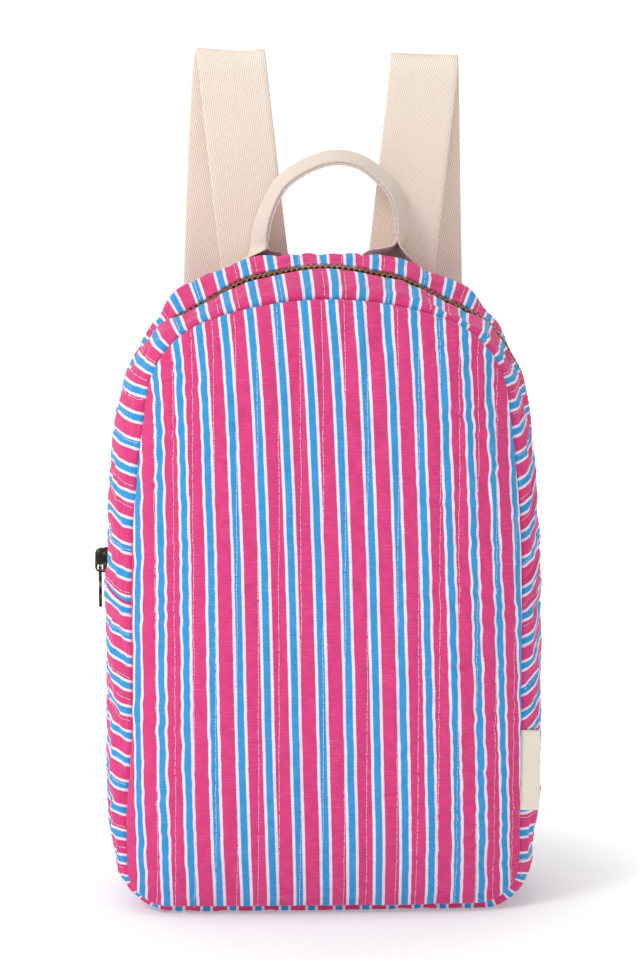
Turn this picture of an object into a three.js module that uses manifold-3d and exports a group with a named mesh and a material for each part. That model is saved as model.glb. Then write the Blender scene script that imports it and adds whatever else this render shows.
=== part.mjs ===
// A child's mini backpack in quilted striped cotton: two domed panels sewn to a zipped gusset, with webbing
// shoulder straps, a folded webbing carry handle, a metal zip and a side label.
// Millimetres, +Z up. The front faces -Y, and the origin is the middle of the flat foot.
import * as THREE from "three";
import { mergeVertices } from "three/addons/utils/BufferGeometryUtils.js";
import Module from "manifold-3d";

const wasm = await Module();
wasm.setup();

const degrees = THREE.MathUtils.degToRad;
const { lerp, smoothstep } = THREE.MathUtils;

// Driving dimensions
const gap = 0.3; // clearance between neighbouring pieces
const seamGap = 0.5; // clearance between a panel and the gusset
const wall = 3; // quilted cotton with its wadding
const seamLift = 3.5; // the foot's seam stands this far above the floor
const seamHalfDepth = 36; // from the middle of the gusset to a panel's seam
const panelHalfWidth = 91.5;
const quiltDepth = 0.45; // how far a quilted rib stands above, and a stitch line below, the mean surface
const quiltChannels = 18; // ribs across a panel
const quiltPitch = 10.2; // ribs along the gusset

// The seam line of a panel, run by run, from the middle of its top down the right side to the middle of
// its foot.
const crown = { radius: 165, turn: degrees(19.8) };
const shoulder = { radius: 42, turn: degrees(60.7) };
const flank = { radius: 620, turn: degrees(9.5) };
const side = { length: 125 };
const corner = { radius: 20, turn: degrees(90) };
const foot = { length: panelHalfWidth - corner.radius };
const seamRuns = [crown, shoulder, flank, side, corner, foot];

// The zip runs over the top to this far down each side. The foot's gusset takes over there.
const zipHalfLength = 202;
const zipHalfSlot = 3.4; // half the slot between the two zip bands
const zipGroove = { halfWidth: 8, fade: 18 };

// The gusset's section, by the distance from the top: how far it swells outside the seam line, how far it
// leans up towards the back, and how deep the zip lies in it.
const gussetRows = [
  { fromTop: 0, swell: 13.5, lean: 8.1, groove: 2.7 },
  { fromTop: 30, swell: 13.3, lean: 11.4, groove: 4.5 },
  { fromTop: 63, swell: 9.5, lean: 12.2, groove: 6 },
  { fromTop: 78, swell: 9.2, lean: 2.2, groove: 3.4 },
  { fromTop: 91, swell: 9.2, lean: 1.2, groove: 2.4 },
  { fromTop: 104, swell: 11.8, lean: 0.5, groove: 2.4 },
  { fromTop: 130, swell: 13, lean: 0, groove: 2.8 },
  { fromTop: 230, swell: 12.2, lean: 0, groove: 2.8 },
  { fromTop: 300, swell: 12.6, lean: 0, groove: 0 },
  { fromTop: 332, swell: 9, lean: 0, groove: 0 },
  { fromTop: 367, swell: 7.6, lean: 0, groove: 0 },
  { fromTop: 431, swell: 9.5, lean: 0, groove: 0 },
];
const swellRoundness = 2.4;
const swellFullness = 0.6;

// Shares of a panel's height, from its foot to its top, where its cloth bends.
const panelRows = [0, 0.025, 0.08, 0.18, 0.32, 0.5, 0.68, 0.82, 0.92, 0.975, 1];
const frontDome = { height: 24, across: 3.2, along: 6, fullness: 0.7 };
const backDome = { height: 9, across: 3.2, along: 6, fullness: 0.7 };

const webbing = { width: 32, thickness: 2 };
const strapOffset = 4; // the straps sit this far to the right of the middle

// The handle's spine, station by station from its left foot: how far its two halves open to each side, and
// how far their edges tilt to the inside of the arch, in degrees.
const handleStations = [
  { x: -31, z: 293.4, open: 84, tilt: 0 },
  { x: -31.6, z: 298, open: 75, tilt: 0 },
  { x: -32.2, z: 301.5, open: 62, tilt: 2 },
  { x: -32.7, z: 304, open: 48, tilt: 7 },
  { x: -33, z: 306.5, open: 26, tilt: 19 },
  { x: -33, z: 310, open: 5, tilt: 20 },
  { x: -31.6, z: 318, open: 4, tilt: 13 },
  { x: -28.5, z: 327.6, open: 4, tilt: 11 },
  { x: -20.1, z: 342.2, open: 4, tilt: 9 },
  { x: -6.1, z: 351, open: 4, tilt: 9 },
  { x: 7.2, z: 354.4, open: 4, tilt: 9 },
  { x: 20.8, z: 351.6, open: 4, tilt: 10 },
  { x: 36.5, z: 338.4, open: 4, tilt: 14 },
  { x: 40.7, z: 327.3, open: 4, tilt: 15 },
  { x: 40.3, z: 317.8, open: 4, tilt: 10 },
  { x: 37.8, z: 311, open: 6, tilt: 3 },
  { x: 36, z: 306.5, open: 30, tilt: -2 },
  { x: 34.6, z: 302.5, open: 55, tilt: -2 },
  { x: 33.6, z: 298, open: 74, tilt: 0 },
  { x: 33, z: 293.4, open: 84, tilt: 0 },
];
const handleFlat = 84; // the opening of a foot that lies flat
const footSlack = 0.3; // how much of the seam's slope a foot's outer edge takes up
const handleSteps = 34;

// One shoulder strap, station by station: up from the top seam, over the fold and down behind the bag.
const strapStations = [
  { x: 34.6, y: 40.2, z: 289.9, lean: 12 },
  { x: 35.4, y: 40.9, z: 296.5, lean: 10 },
  { x: 37.8, y: 41, z: 317, lean: 7 },
  { x: 40.6, y: 41, z: 342, lean: 6.5 },
  { x: 45.5, y: 42, z: 387, lean: 6 },
  { x: 46.3, y: 42.6, z: 395, lean: 5 },
  { x: 46.9, y: 46.2, z: 400, lean: 2 },
  { x: 47.5, y: 49.8, z: 395, lean: -1 },
  { x: 48, y: 50.8, z: 387, lean: -2 },
  { x: 50.8, y: 60, z: 300, lean: -2 },
  { x: 54, y: 67, z: 200, lean: -2 },
  { x: 57, y: 64.5, z: 105, lean: -2 },
  { x: 59, y: 55, z: 45, lean: -2 },
  { x: 59.8, y: 46, z: 17, lean: -2 },
  { x: 60, y: 39.4, z: 6.2, lean: -2 },
];
const strapSteps = 46;

const zipSteps = 60;
const zipTape = { halfWidth: 11, thickness: 0.8 };
const zipChain = { halfWidth: 2.9, height: 3.2 };
const sliderFromEnd = 13; // from the left end of the zip to the middle of the slider
const sliderSeat = 0.9; // the slider's plate over the edges of the slot
const slider = { length: 12.6, width: 8.4, plate: 1.5, post: 3 };
const sliderCrown = { length: 11.8, height: 4.6, bar: 1.2, width: 2.2, round: 2.8 };
const pull = { length: 20.2, width: 6, neck: 4.8, thickness: 1.5, eyeLength: 5.4, eyeWidth: 3, eyeBar: 1.3 };
const eyeRoom = Math.hypot(pull.thickness, pull.eyeBar) / 2 + gap; // half of the eye bar's hole

const label = { fromTop: 265.2, height: 39, reach: 11.5, droop: 0.26, thickness: 0.9, lift: 0.85 };

const colours = {
  pink: 0xd9407f,
  webbing: 0xe9d8c8,
  zipTape: 0x7c3350,
  brass: 0x8a6242,
  darkNickel: 0x3d3a33,
  label: 0xeee2cf,
};

// A rounded swell, from 0 at its edges to 1 in the middle.
const domeShare = (t, roundness, fullness) => Math.max(0, 1 - Math.abs(t) ** roundness) ** fullness;

// Seam line

// How far a run moves, and how much it turns, over part of its length. A heading of 0 points to +X.
function along(run, heading, distance) {
  if (!run.radius) {
    return { x: distance * Math.cos(heading), z: -distance * Math.sin(heading), heading };
  }
  const turned = heading + distance / run.radius;
  return {
    x: run.radius * (Math.sin(turned) - Math.sin(heading)),
    z: run.radius * (Math.cos(turned) - Math.cos(heading)),
    heading: turned,
  };
}

const runLength = (run) => run.length ?? run.radius * run.turn;
const seamHalfLength = seamRuns.reduce((sum, run) => sum + runLength(run), 0);

// Walks the right half of the seam from the middle of its top.
function walkSeam(distance) {
  const at = { x: 0, z: 0, heading: 0 };
  let left = distance;
  for (const run of seamRuns) {
    const step = along(run, at.heading, Math.min(left, runLength(run)));
    at.x += step.x;
    at.z += step.z;
    at.heading = step.heading;
    left -= runLength(run);
    if (left <= 0) break;
  }
  return at;
}

const panelHeight = -walkSeam(seamHalfLength).z;
const seamTop = seamLift + panelHeight;

// The seam's point and outward direction. s is 0 at the top, positive down the right side, and wraps round
// the foot.
function seamAt(s) {
  const wrapped = s > seamHalfLength ? s - 2 * seamHalfLength : s;
  const at = walkSeam(Math.min(Math.abs(wrapped), seamHalfLength));
  const mirror = Math.sign(wrapped) || 1;
  return {
    x: mirror * at.x,
    z: seamTop + at.z,
    outX: mirror * Math.sin(at.heading),
    outZ: Math.cos(at.heading),
    fromTop: Math.abs(wrapped),
  };
}

// Gusset

// A column of the gusset's table at a distance from the top.
function gussetColumn(column, fromTop) {
  const next = gussetRows.findIndex((row) => row.fromTop >= fromTop);
  if (next < 0) return gussetRows.at(-1)[column];
  if (next === 0) return gussetRows[0][column];
  const [a, b] = [gussetRows[next - 1], gussetRows[next]];
  return lerp(a[column], b[column], smoothstep(fromTop, a.fromTop, b.fromTop));
}

function gussetRise(fromTop, y) {
  const across = y / seamHalfDepth;
  const swell = gussetColumn("swell", fromTop) * domeShare(across, swellRoundness, swellFullness);
  const lean = gussetColumn("lean", fromTop) * across * (1 - across ** 2);
  const fade = smoothstep(zipHalfLength - fromTop, 0, zipGroove.fade);
  const groove = gussetColumn("groove", fromTop) * fade * Math.exp(-((y / zipGroove.halfWidth) ** 2));
  return swell + lean - groove;
}

// The gusset's smooth outer surface, flattened where it stands on the floor.
function gussetPoint(s, y) {
  const seam = seamAt(s);
  const rise = gussetRise(seam.fromTop, y);
  return new THREE.Vector3(seam.x + seam.outX * rise, y, Math.max(0, seam.z + seam.outZ * rise));
}

// The outward direction of a surface given by two parameters.
function normalOf(surface, a, b, step = 0.05) {
  const da = surface(a + step, b).sub(surface(a - step, b));
  const db = surface(a, b + step).sub(surface(a, b - step));
  return da.cross(db).normalize();
}

// Both pieces of a seam turn in along the same direction, halfway between the panel and the gusset.
function seamTurn(seam, face) {
  return new THREE.Vector3(seam.outX, face, seam.outZ).normalize();
}

// Solids from grids and sections

function solidGeometry(points, triangles) {
  const geometry = new THREE.BufferGeometry().setFromPoints(points);
  geometry.setIndex(triangles.flat());
  const volume = triangles.reduce(
    (sum, [a, b, c]) => sum + points[a].dot(points[b].clone().cross(points[c])),
    0,
  );
  if (volume < 0) geometry.setIndex(triangles.flatMap(([a, b, c]) => [a, c, b]));
  const faceted = geometry.toNonIndexed();
  faceted.computeVertexNormals();
  return faceted;
}

// A wall between an outer and an inner grid of points of the same size.
function wallBetween(outer, inner) {
  const columns = outer.length;
  const rows = outer[0].length;
  const points = [...outer.flat(), ...inner.flat()];
  const at = (layer, i, j) => layer * columns * rows + i * rows + j;
  const triangles = [];
  const quad = (a, b, c, d) => triangles.push([a, b, c], [a, c, d]);
  for (let i = 0; i + 1 < columns; i++) {
    for (let j = 0; j + 1 < rows; j++) {
      quad(at(0, i, j), at(0, i + 1, j), at(0, i + 1, j + 1), at(0, i, j + 1));
      quad(at(1, i, j), at(1, i, j + 1), at(1, i + 1, j + 1), at(1, i + 1, j));
    }
    quad(at(0, i, 0), at(1, i, 0), at(1, i + 1, 0), at(0, i + 1, 0));
    quad(at(0, i, rows - 1), at(0, i + 1, rows - 1), at(1, i + 1, rows - 1), at(1, i, rows - 1));
  }
  for (let j = 0; j + 1 < rows; j++) {
    quad(at(0, 0, j), at(0, 0, j + 1), at(1, 0, j + 1), at(1, 0, j));
    quad(at(0, columns - 1, j), at(1, columns - 1, j), at(1, columns - 1, j + 1), at(0, columns - 1, j + 1));
  }
  return solidGeometry(points, triangles);
}

// A solid through closed sections of equal length, with both ends capped. The profile is a section laid flat.
function loft(sections, profile) {
  const count = profile.length;
  const triangles = [];
  for (let i = 0; i + 1 < sections.length; i++) {
    for (let k = 0; k < count; k++) {
      const [a, b] = [i * count + k, i * count + ((k + 1) % count)];
      triangles.push([a, b, b + count], [a, b + count, a + count]);
    }
  }
  const last = (sections.length - 1) * count;
  const forward = !THREE.ShapeUtils.isClockWise(profile);
  for (const [a, b, c] of THREE.ShapeUtils.triangulateShape(profile, [])) {
    const face = forward ? [a, b, c] : [a, c, b];
    triangles.push([face[2], face[1], face[0]]);
    triangles.push(face.map((k) => k + last));
  }
  return solidGeometry(sections.flat(), triangles);
}

function toSolid(geometry) {
  const bare = geometry.clone();
  bare.deleteAttribute("normal");
  bare.deleteAttribute("uv");
  const merged = mergeVertices(bare, 1e-4);
  return new wasm.Manifold(
    new wasm.Mesh({
      numProp: 3,
      vertProperties: merged.attributes.position.array,
      triVerts: new Uint32Array(merged.index.array),
    }),
  );
}

function fromSolid(solid) {
  const mesh = solid.getMesh();
  const geometry = new THREE.BufferGeometry();
  geometry.setAttribute("position", new THREE.BufferAttribute(new Float32Array(mesh.vertProperties), 3));
  geometry.setIndex(new THREE.BufferAttribute(new Uint32Array(mesh.triVerts), 1));
  const faceted = geometry.toNonIndexed();
  faceted.computeVertexNormals();
  return faceted;
}

const evenly = (count, from, to) => Array.from({ length: count + 1 }, (_, i) => lerp(from, to, i / count));
const isInside = (i, list) => i > 0 && i < list.length - 1;
const rib = (i) => (i % 2 ? quiltDepth : -quiltDepth);

// Quilted pieces

// A stretch of gusset from one distance to another, with quilted ribs across it.
function quiltedGusset(from, to, depths) {
  const columns = evenly(2 * Math.round((to - from) / quiltPitch), from, to);
  const outer = [];
  const inner = [];
  columns.forEach((s, i) => {
    const seam = seamAt(s);
    const outerColumn = [];
    const innerColumn = [];
    for (const y of depths) {
      const onSeam = Math.abs(y) === seamHalfDepth;
      const face = gussetPoint(s, y);
      const out = onSeam ? seamTurn(seam, Math.sign(y)) : normalOf(gussetPoint, s, y);
      const raised = onSeam || !isInside(i, columns) ? 0 : rib(i);
      const shell = face.clone().addScaledVector(out, raised);
      shell.z = Math.max(0, face.z < gap ? 0 : shell.z);
      outerColumn.push(shell);
      innerColumn.push(face.clone().addScaledVector(out, -wall));
    }
    outer.push(outerColumn);
    inner.push(innerColumn);
  });
  return wallBetween(outer, inner);
}

function zipBand(face) {
  const depths = [seamHalfDepth, 33, 23, 13, zipHalfSlot].map((depth) => face * depth);
  if (face > 0) depths.reverse();
  return quiltedGusset(-zipHalfLength, zipHalfLength, depths);
}

function footGusset() {
  const depths = [-seamHalfDepth, -33, -21, 0, 21, 33, seamHalfDepth];
  return quiltedGusset(zipHalfLength + gap, 2 * seamHalfLength - zipHalfLength - gap, depths);
}

// Half the panel's width beside a height, as if the flanks ran on up past the shoulders.
function flankHalfWidth(z) {
  const start = seamLift + corner.radius + side.length;
  const above = Math.max(0, z - start);
  return panelHalfWidth - (flank.radius - Math.sqrt(flank.radius ** 2 - above ** 2));
}

// Columns stand upright in the middle of a panel and lean with the flanks near its sides.
const columnX = (u, z) => u * panelHalfWidth - u * u ** 4 * (panelHalfWidth - flankHalfWidth(z));

// The height where a panel's column meets the seam, searched between two distances from the top.
function seamHeight(u, from, to) {
  const inward = from > seamHalfLength / 2 ? -1 : 1;
  let [low, high] = [from, to];
  for (let pass = 0; pass < 40; pass++) {
    const middle = (low + high) / 2;
    const at = seamAt(middle);
    if (inward * (at.x - columnX(u, at.z)) < 0) low = middle;
    else high = middle;
  }
  return seamAt((low + high) / 2).z;
}

const shoulderEnd = runLength(crown) + runLength(shoulder);
const cornerStart = shoulderEnd + runLength(flank) + runLength(side);

// The height of a panel's point, from 0 at its foot to 1 at its top.
function panelZ(u, t) {
  const column = Math.abs(u);
  const low = seamHeight(column, cornerStart, seamHalfLength);
  const high = seamHeight(column, 0, shoulderEnd);
  return lerp(low, high, t);
}

// The seam's turn at a point on a panel's edge, found from its height on the seam line.
function edgeTurn(u, t, face) {
  const z = panelZ(u, t);
  if (z < seamLift + 1e-6) return seamTurn({ outX: 0, outZ: -1 }, face);
  let [low, high] = [0, seamHalfLength];
  for (let pass = 0; pass < 40; pass++) {
    const middle = (low + high) / 2;
    if (seamAt(middle).z > z + 1e-9) low = middle;
    else high = middle;
  }
  const { outX, outZ } = seamAt(low);
  return seamTurn({ outX: Math.sign(u * -face) * outX, outZ }, face);
}

// One quilted panel: face is -1 at the front and 1 at the back.
function quiltedPanel(face, dome) {
  const panelPoint = (u, t) => {
    const z = panelZ(u, t);
    const across = domeShare(u, dome.across, dome.fullness);
    const along = domeShare(2 * t - 1, dome.along, dome.fullness);
    const out = seamHalfDepth + seamGap + dome.height * across * along;
    return new THREE.Vector3(columnX(u, z) * -face, face * out, z);
  };
  const columns = evenly(2 * quiltChannels, -1, 1);
  const outer = [];
  const inner = [];
  columns.forEach((u, i) => {
    const outerColumn = [];
    const innerColumn = [];
    panelRows.forEach((t, j) => {
      const surface = panelPoint(u, t);
      const onSeam = !isInside(i, columns) || !isInside(j, panelRows);
      const out = onSeam ? edgeTurn(u, t, face) : normalOf(panelPoint, u, t, 0.004);
      outerColumn.push(surface.clone().addScaledVector(out, onSeam ? 0 : rib(i)));
      innerColumn.push(surface.clone().addScaledVector(out, -wall));
    });
    outer.push(outerColumn);
    inner.push(innerColumn);
  });
  return wallBetween(outer, inner);
}

// Zip

// The height of the bands over the tape, at the slot or at the tape's edges, whichever is lowest.
function zipLevel(fromTop) {
  const places = [-zipTape.halfWidth, -zipHalfSlot, zipHalfSlot, zipTape.halfWidth];
  return Math.min(...places.map((y) => gussetRise(fromTop, y)));
}

// A strip along the zip's path, between two heights measured from the bands.
function zipStrip(from, to, halfWidth, low, high) {
  const profile = [
    new THREE.Vector2(-halfWidth, low),
    new THREE.Vector2(halfWidth, low),
    new THREE.Vector2(halfWidth, high),
    new THREE.Vector2(-halfWidth, high),
  ];
  const sections = evenly(zipSteps, from, to).map((s) => {
    const seam = seamAt(s);
    const level = zipLevel(seam.fromTop);
    return profile.map((p) => {
      const rise = level + p.y;
      return new THREE.Vector3(seam.x + seam.outX * rise, p.x, seam.z + seam.outZ * rise);
    });
  });
  return loft(sections, profile);
}

const tapeTop = -wall - 3 * gap;
const chainFoot = tapeTop + 2 * gap;
const sliderAt = -(zipHalfLength - sliderFromEnd);

const extrude = (shape, depth) =>
  new THREE.ExtrudeGeometry(shape, { depth, bevelEnabled: false, curveSegments: 8 });

// A plate that is round at one end, a post under it and a crown over it with a hole for the pull's eye.
function sliderSolid() {
  const half = slider.length / 2;
  const plan = new THREE.Shape();
  plan.absarc(0, half - slider.width / 2, slider.width / 2, 0, Math.PI);
  plan.lineTo(-slider.width / 3, -half);
  plan.lineTo(slider.width / 3, -half);
  plan.closePath();
  const plate = extrude(plan, slider.plate);
  const post = new THREE.BoxGeometry(slider.post / 2, slider.post, slider.post);
  post.translate(0, slider.post - half, 0);

  const { length, height, bar, width, round } = sliderCrown;
  const side = new THREE.Shape();
  side.moveTo(-length / 2, -bar / 4);
  side.lineTo(-length / 2, height - round);
  side.absarc(-length / 2 + round, height - round, round, Math.PI, Math.PI / 2, true);
  side.absarc(length / 2 - round, height - round, round, Math.PI / 2, 0, true);
  side.lineTo(length / 2, -bar / 4);
  side.closePath();
  const hole = new THREE.Path();
  const holeTop = height - bar;
  hole.moveTo(-length / 2 + bar, holeTop);
  hole.lineTo(-length / 2 + bar, holeTop - 2 * eyeRoom);
  hole.lineTo(-length / 2 + bar + 2 * eyeRoom, holeTop - 2 * eyeRoom);
  hole.lineTo(-length / 2 + bar + 2 * eyeRoom, holeTop);
  hole.closePath();
  side.holes.push(hole);
  const block = extrude(side, width).translate(0, 0, -width / 2);
  block.rotateX(Math.PI / 2).rotateZ(Math.PI / 2).translate(0, 0, slider.plate);
  return fromSolid(toSolid(plate).add(toSolid(post)).add(toSolid(block)));
}

// The pull's tab hangs from its eye bar, which is at the origin and runs along Y.
function pullSolid() {
  const shape = new THREE.Shape();
  const top = pull.eyeBar / 2;
  const tip = top - pull.length;
  const tipRadius = pull.width / 2;
  shape.moveTo(-pull.neck / 2, top);
  shape.lineTo(-pull.width / 2, tip + tipRadius);
  shape.absarc(0, tip + tipRadius, tipRadius, Math.PI, 2 * Math.PI);
  shape.lineTo(pull.neck / 2, top);
  shape.closePath();
  const eye = new THREE.Path();
  const eyeFoot = -pull.eyeBar / 2 - pull.eyeLength;
  eye.moveTo(-pull.eyeWidth / 2, -pull.eyeBar / 2);
  eye.lineTo(pull.eyeWidth / 2, -pull.eyeBar / 2);
  eye.lineTo(pull.eyeWidth / 2, eyeFoot);
  eye.lineTo(-pull.eyeWidth / 2, eyeFoot);
  eye.closePath();
  shape.holes.push(eye);
  const tab = extrude(shape, pull.thickness).translate(0, 0, -pull.thickness / 2);
  return tab.rotateX(Math.PI / 2).rotateZ(Math.PI / 2);
}

// Webbing

function strapSolid(mirror) {
  const path = new THREE.CatmullRomCurve3(
    strapStations.map(({ x, y, z }) => new THREE.Vector3(mirror * x + strapOffset, y, z)),
    false,
    "centripetal",
  );
  const half = { width: webbing.width / 2, thickness: webbing.thickness / 2 };
  const profile = [
    new THREE.Vector2(-half.width, -half.thickness),
    new THREE.Vector2(half.width, -half.thickness),
    new THREE.Vector2(half.width, half.thickness),
    new THREE.Vector2(-half.width, half.thickness),
  ];
  const lastStation = strapStations.length - 1;
  const sections = evenly(strapSteps, 0, 1).map((t) => {
    const station = Math.min(Math.floor(t * lastStation), lastStation - 1);
    const share = t * lastStation - station;
    const lean = degrees(lerp(strapStations[station].lean, strapStations[station + 1].lean, share));
    const centre = path.getPoint(t);
    const forward = path.getTangent(t);
    const across = new THREE.Vector3(Math.cos(lean), 0, -mirror * Math.sin(lean));
    across.addScaledVector(forward, -across.dot(forward)).normalize();
    const face = forward.clone().cross(across);
    return profile.map((p) => centre.clone().addScaledVector(across, p.x).addScaledVector(face, p.y));
  });
  return loft(sections, profile);
}

// How far the seam has dropped from its top, beside the middle.
const crownDrop = (x) => crown.radius - Math.sqrt(crown.radius ** 2 - x ** 2);

// The handle's webbing is flat at its feet and folded lengthwise over the grip, with its edges to the front.
function handleSolid() {
  const leg = webbing.width / 2;
  const half = webbing.thickness / 2;
  const spineY = seamHalfDepth + seamGap + half + 0.4;
  const spine = new THREE.CatmullRomCurve3(
    handleStations.map(({ x, z }) => new THREE.Vector3(x, spineY, z)),
    false,
    "centripetal",
  );
  const last = handleStations.length - 1;
  let profile;
  const sections = evenly(handleSteps, 0, 1).map((t) => {
    const station = Math.min(Math.floor(t * last), last - 1);
    const between = (column) =>
      lerp(handleStations[station][column], handleStations[station + 1][column], t * last - station);
    const [open, tilt] = [degrees(between("open")), degrees(between("tilt"))];
    const flatness = between("open") / handleFlat;
    const tangent = spine.getTangent(t);
    const radial = new THREE.Vector3(-tangent.z, 0, tangent.x);
    const front = new THREE.Vector3(0, -Math.cos(tilt), 0).addScaledVector(radial, -Math.sin(tilt));
    const out = new THREE.Vector3(0, -Math.sin(tilt), 0).addScaledVector(radial, Math.cos(tilt));
    const [c, s] = [Math.cos(open), Math.sin(open)];
    const crotch = Math.min(half / s, 0.8 * leg);
    const flat = [
      new THREE.Vector2(leg * c - half * s, leg * s + half * c),
      new THREE.Vector2(leg * c + half * s, leg * s - half * c),
      new THREE.Vector2(crotch, 0),
      new THREE.Vector2(leg * c + half * s, -leg * s + half * c),
      new THREE.Vector2(leg * c - half * s, -leg * s - half * c),
      new THREE.Vector2(-half * s, -half * c),
      new THREE.Vector2(-half, 0),
      new THREE.Vector2(-half * s, half * c),
    ];
    profile ??= flat;
    const centre = spine.getPoint(t);
    return flat.map((p) => {
      const point = centre.clone().addScaledVector(front, p.x).addScaledVector(out, p.y);
      const climb = crownDrop(centre.x) - crownDrop(point.x);
      point.z += flatness * Math.max(climb, footSlack * climb);
      return point;
    });
  });
  return loft(sections, profile);
}

// Label

// A folded tape sewn into the front seam on the right, lying back over the gusset.
function labelSolid() {
  const columns = evenly(8, label.fromTop, label.fromTop + label.height);
  const depths = evenly(4, -seamHalfDepth + 0.5, -seamHalfDepth + label.reach);
  const layer = (lift) =>
    columns.map((column) =>
      depths.map((y) => {
        const s = column + label.droop * (y + seamHalfDepth);
        return gussetPoint(s, y).addScaledVector(normalOf(gussetPoint, s, y), lift);
      }),
    );
  return wallBetween(layer(label.lift + label.thickness), layer(label.lift));
}

// Assembly

const finish = (color, roughness, metalness = 0) =>
  new THREE.MeshStandardMaterial({ color, roughness, metalness });
const cotton = finish(colours.pink, 0.85);
const strapping = finish(colours.webbing, 0.9);
const brass = finish(colours.brass, 0.4, 0.9);
const nickel = finish(colours.darkNickel, 0.35, 0.9);

const backpack = new THREE.Group();

function add(name, geometry, material, parent = backpack) {
  const mesh = new THREE.Mesh(geometry, material);
  mesh.name = name;
  parent.add(mesh);
  return mesh;
}

add("front_panel", quiltedPanel(-1, frontDome), cotton);
add("back_panel", quiltedPanel(1, backDome), cotton);
add("zip_band_front", zipBand(-1), cotton);
add("zip_band_back", zipBand(1), cotton);
add("foot_gusset", footGusset(), cotton);

const zipEnd = zipHalfLength - gap;
const tape = zipStrip(-zipEnd, zipEnd, zipTape.halfWidth, tapeTop - zipTape.thickness, tapeTop);
add("zip_tape", tape, finish(colours.zipTape, 0.9));
const chainTop = chainFoot + zipChain.height;
add("zip_chain", zipStrip(sliderAt + gap, zipEnd - 4, zipChain.halfWidth, chainFoot, chainTop), brass);

// The slider stands on the zip with its face outward and its round end up the zip.
const seat = gussetPoint(sliderAt, zipHalfSlot);
const seatSeam = seamAt(sliderAt);
const sliderOut = new THREE.Vector3(seatSeam.outX, 0, seatSeam.outZ);
const sliderUp = new THREE.Vector3(-seatSeam.outZ, 0, seatSeam.outX).multiplyScalar(-1);
const sliderGroup = new THREE.Group();
sliderGroup.position.set(seat.x, 0, seat.z).addScaledVector(sliderOut, sliderSeat);
sliderGroup.quaternion.setFromRotationMatrix(
  new THREE.Matrix4().makeBasis(new THREE.Vector3().crossVectors(sliderUp, sliderOut), sliderUp, sliderOut),
);
backpack.add(sliderGroup);
add("zip_slider", sliderSolid(), nickel, sliderGroup);

// The pull hangs plumb from the lower end of the slider's crown.
const pivot = new THREE.Vector3(
  0,
  -sliderCrown.length / 2 + sliderCrown.bar + eyeRoom,
  slider.plate + sliderCrown.height - sliderCrown.bar - eyeRoom,
);
sliderGroup.updateMatrixWorld(true);
const pullGroup = new THREE.Group();
pullGroup.position.copy(sliderGroup.localToWorld(pivot.clone()));
backpack.add(pullGroup);
add("zip_pull", pullSolid(), nickel, pullGroup);

for (const [name, mirror] of [["strap_left", -1], ["strap_right", 1]]) {
  add(name, strapSolid(mirror), strapping);
}
add("carry_handle", handleSolid(), strapping);
add("side_label", labelSolid(), finish(colours.label, 0.9));

export default backpack;
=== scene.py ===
"""A child's mini backpack in quilted striped cotton, with a metal zip, webbing straps and a folded handle.

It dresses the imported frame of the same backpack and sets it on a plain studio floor.
Sizes in the functions are in millimetres. The frame is in metres, +Z is up and the front faces -Y.
"""

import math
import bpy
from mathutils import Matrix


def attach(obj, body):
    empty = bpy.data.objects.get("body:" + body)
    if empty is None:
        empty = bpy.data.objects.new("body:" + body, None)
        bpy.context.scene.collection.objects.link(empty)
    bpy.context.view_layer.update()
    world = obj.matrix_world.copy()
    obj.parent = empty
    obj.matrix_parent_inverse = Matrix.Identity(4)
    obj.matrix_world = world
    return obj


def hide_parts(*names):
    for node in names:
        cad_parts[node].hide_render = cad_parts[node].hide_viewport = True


bl_info = {
    "name": "Striped Mini Backpack",
    "version": (1, 0, 0),
    "blender": (4, 5, 0),
    "location": "3D View > Sidebar > Backpack",
    "description": "Dresses a backpack frame in quilted striped cotton, webbing and a metal zip",
    "category": "Add Mesh",
}

import bmesh
import bpy
import numpy as np
from mathutils import Vector

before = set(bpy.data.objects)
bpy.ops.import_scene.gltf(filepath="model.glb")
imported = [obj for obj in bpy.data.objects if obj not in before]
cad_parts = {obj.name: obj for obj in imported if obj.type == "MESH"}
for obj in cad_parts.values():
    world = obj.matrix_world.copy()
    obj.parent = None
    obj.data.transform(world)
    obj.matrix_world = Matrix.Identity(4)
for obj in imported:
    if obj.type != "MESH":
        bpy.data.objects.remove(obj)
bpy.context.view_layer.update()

MM = 0.001

CROWN_RADIUS = 165.0
FLANK_RADIUS = 620.0
SIDE_LENGTH = 125.0
CORNER_RADIUS = 20.0
# Seam line of a panel from the middle of its top down the right side: radius, then turn in degrees.
# A straight run has no radius and gives its length instead.
SEAM_RUNS = (
    ("crown", CROWN_RADIUS, 19.8),
    ("shoulder", 42.0, 60.7),
    ("flank", FLANK_RADIUS, 9.5),
    ("side", 0.0, SIDE_LENGTH),
    ("corner", CORNER_RADIUS, 90.0),
    ("foot", 0.0, 71.5),
)
SEAM_LIFT = 3.5
SEAM_HALF_DEPTH = 36.0
SEAM_GAP = 0.5
PANEL_HALF_WIDTH = 91.5
WALL = 3.0
FLANK_START = SEAM_LIFT + CORNER_RADIUS + SIDE_LENGTH

# Gusset's section: distance from the top, swell outside the seam, lean up to the back, depth of the zip.
GUSSET_ROWS = (
    (0, 13.5, 8.1, 2.7),
    (30, 13.3, 11.4, 4.5),
    (63, 9.5, 12.2, 6),
    (78, 9.2, 2.2, 3.4),
    (91, 9.2, 1.2, 2.4),
    (104, 11.8, 0.5, 2.4),
    (130, 13, 0, 2.8),
    (230, 12.2, 0, 2.8),
    (300, 12.6, 0, 0),
    (332, 9, 0, 0),
    (367, 7.6, 0, 0),
    (431, 9.5, 0, 0),
)
ZIP_HALF_LENGTH = 202.0
ZIP_HALF_SLOT = 3.4
ZIP_GROOVE_HALF_WIDTH = 8.0
ZIP_GROOVE_FADE = 18.0
ZIP_RIGHT_END = 193.0
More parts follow.
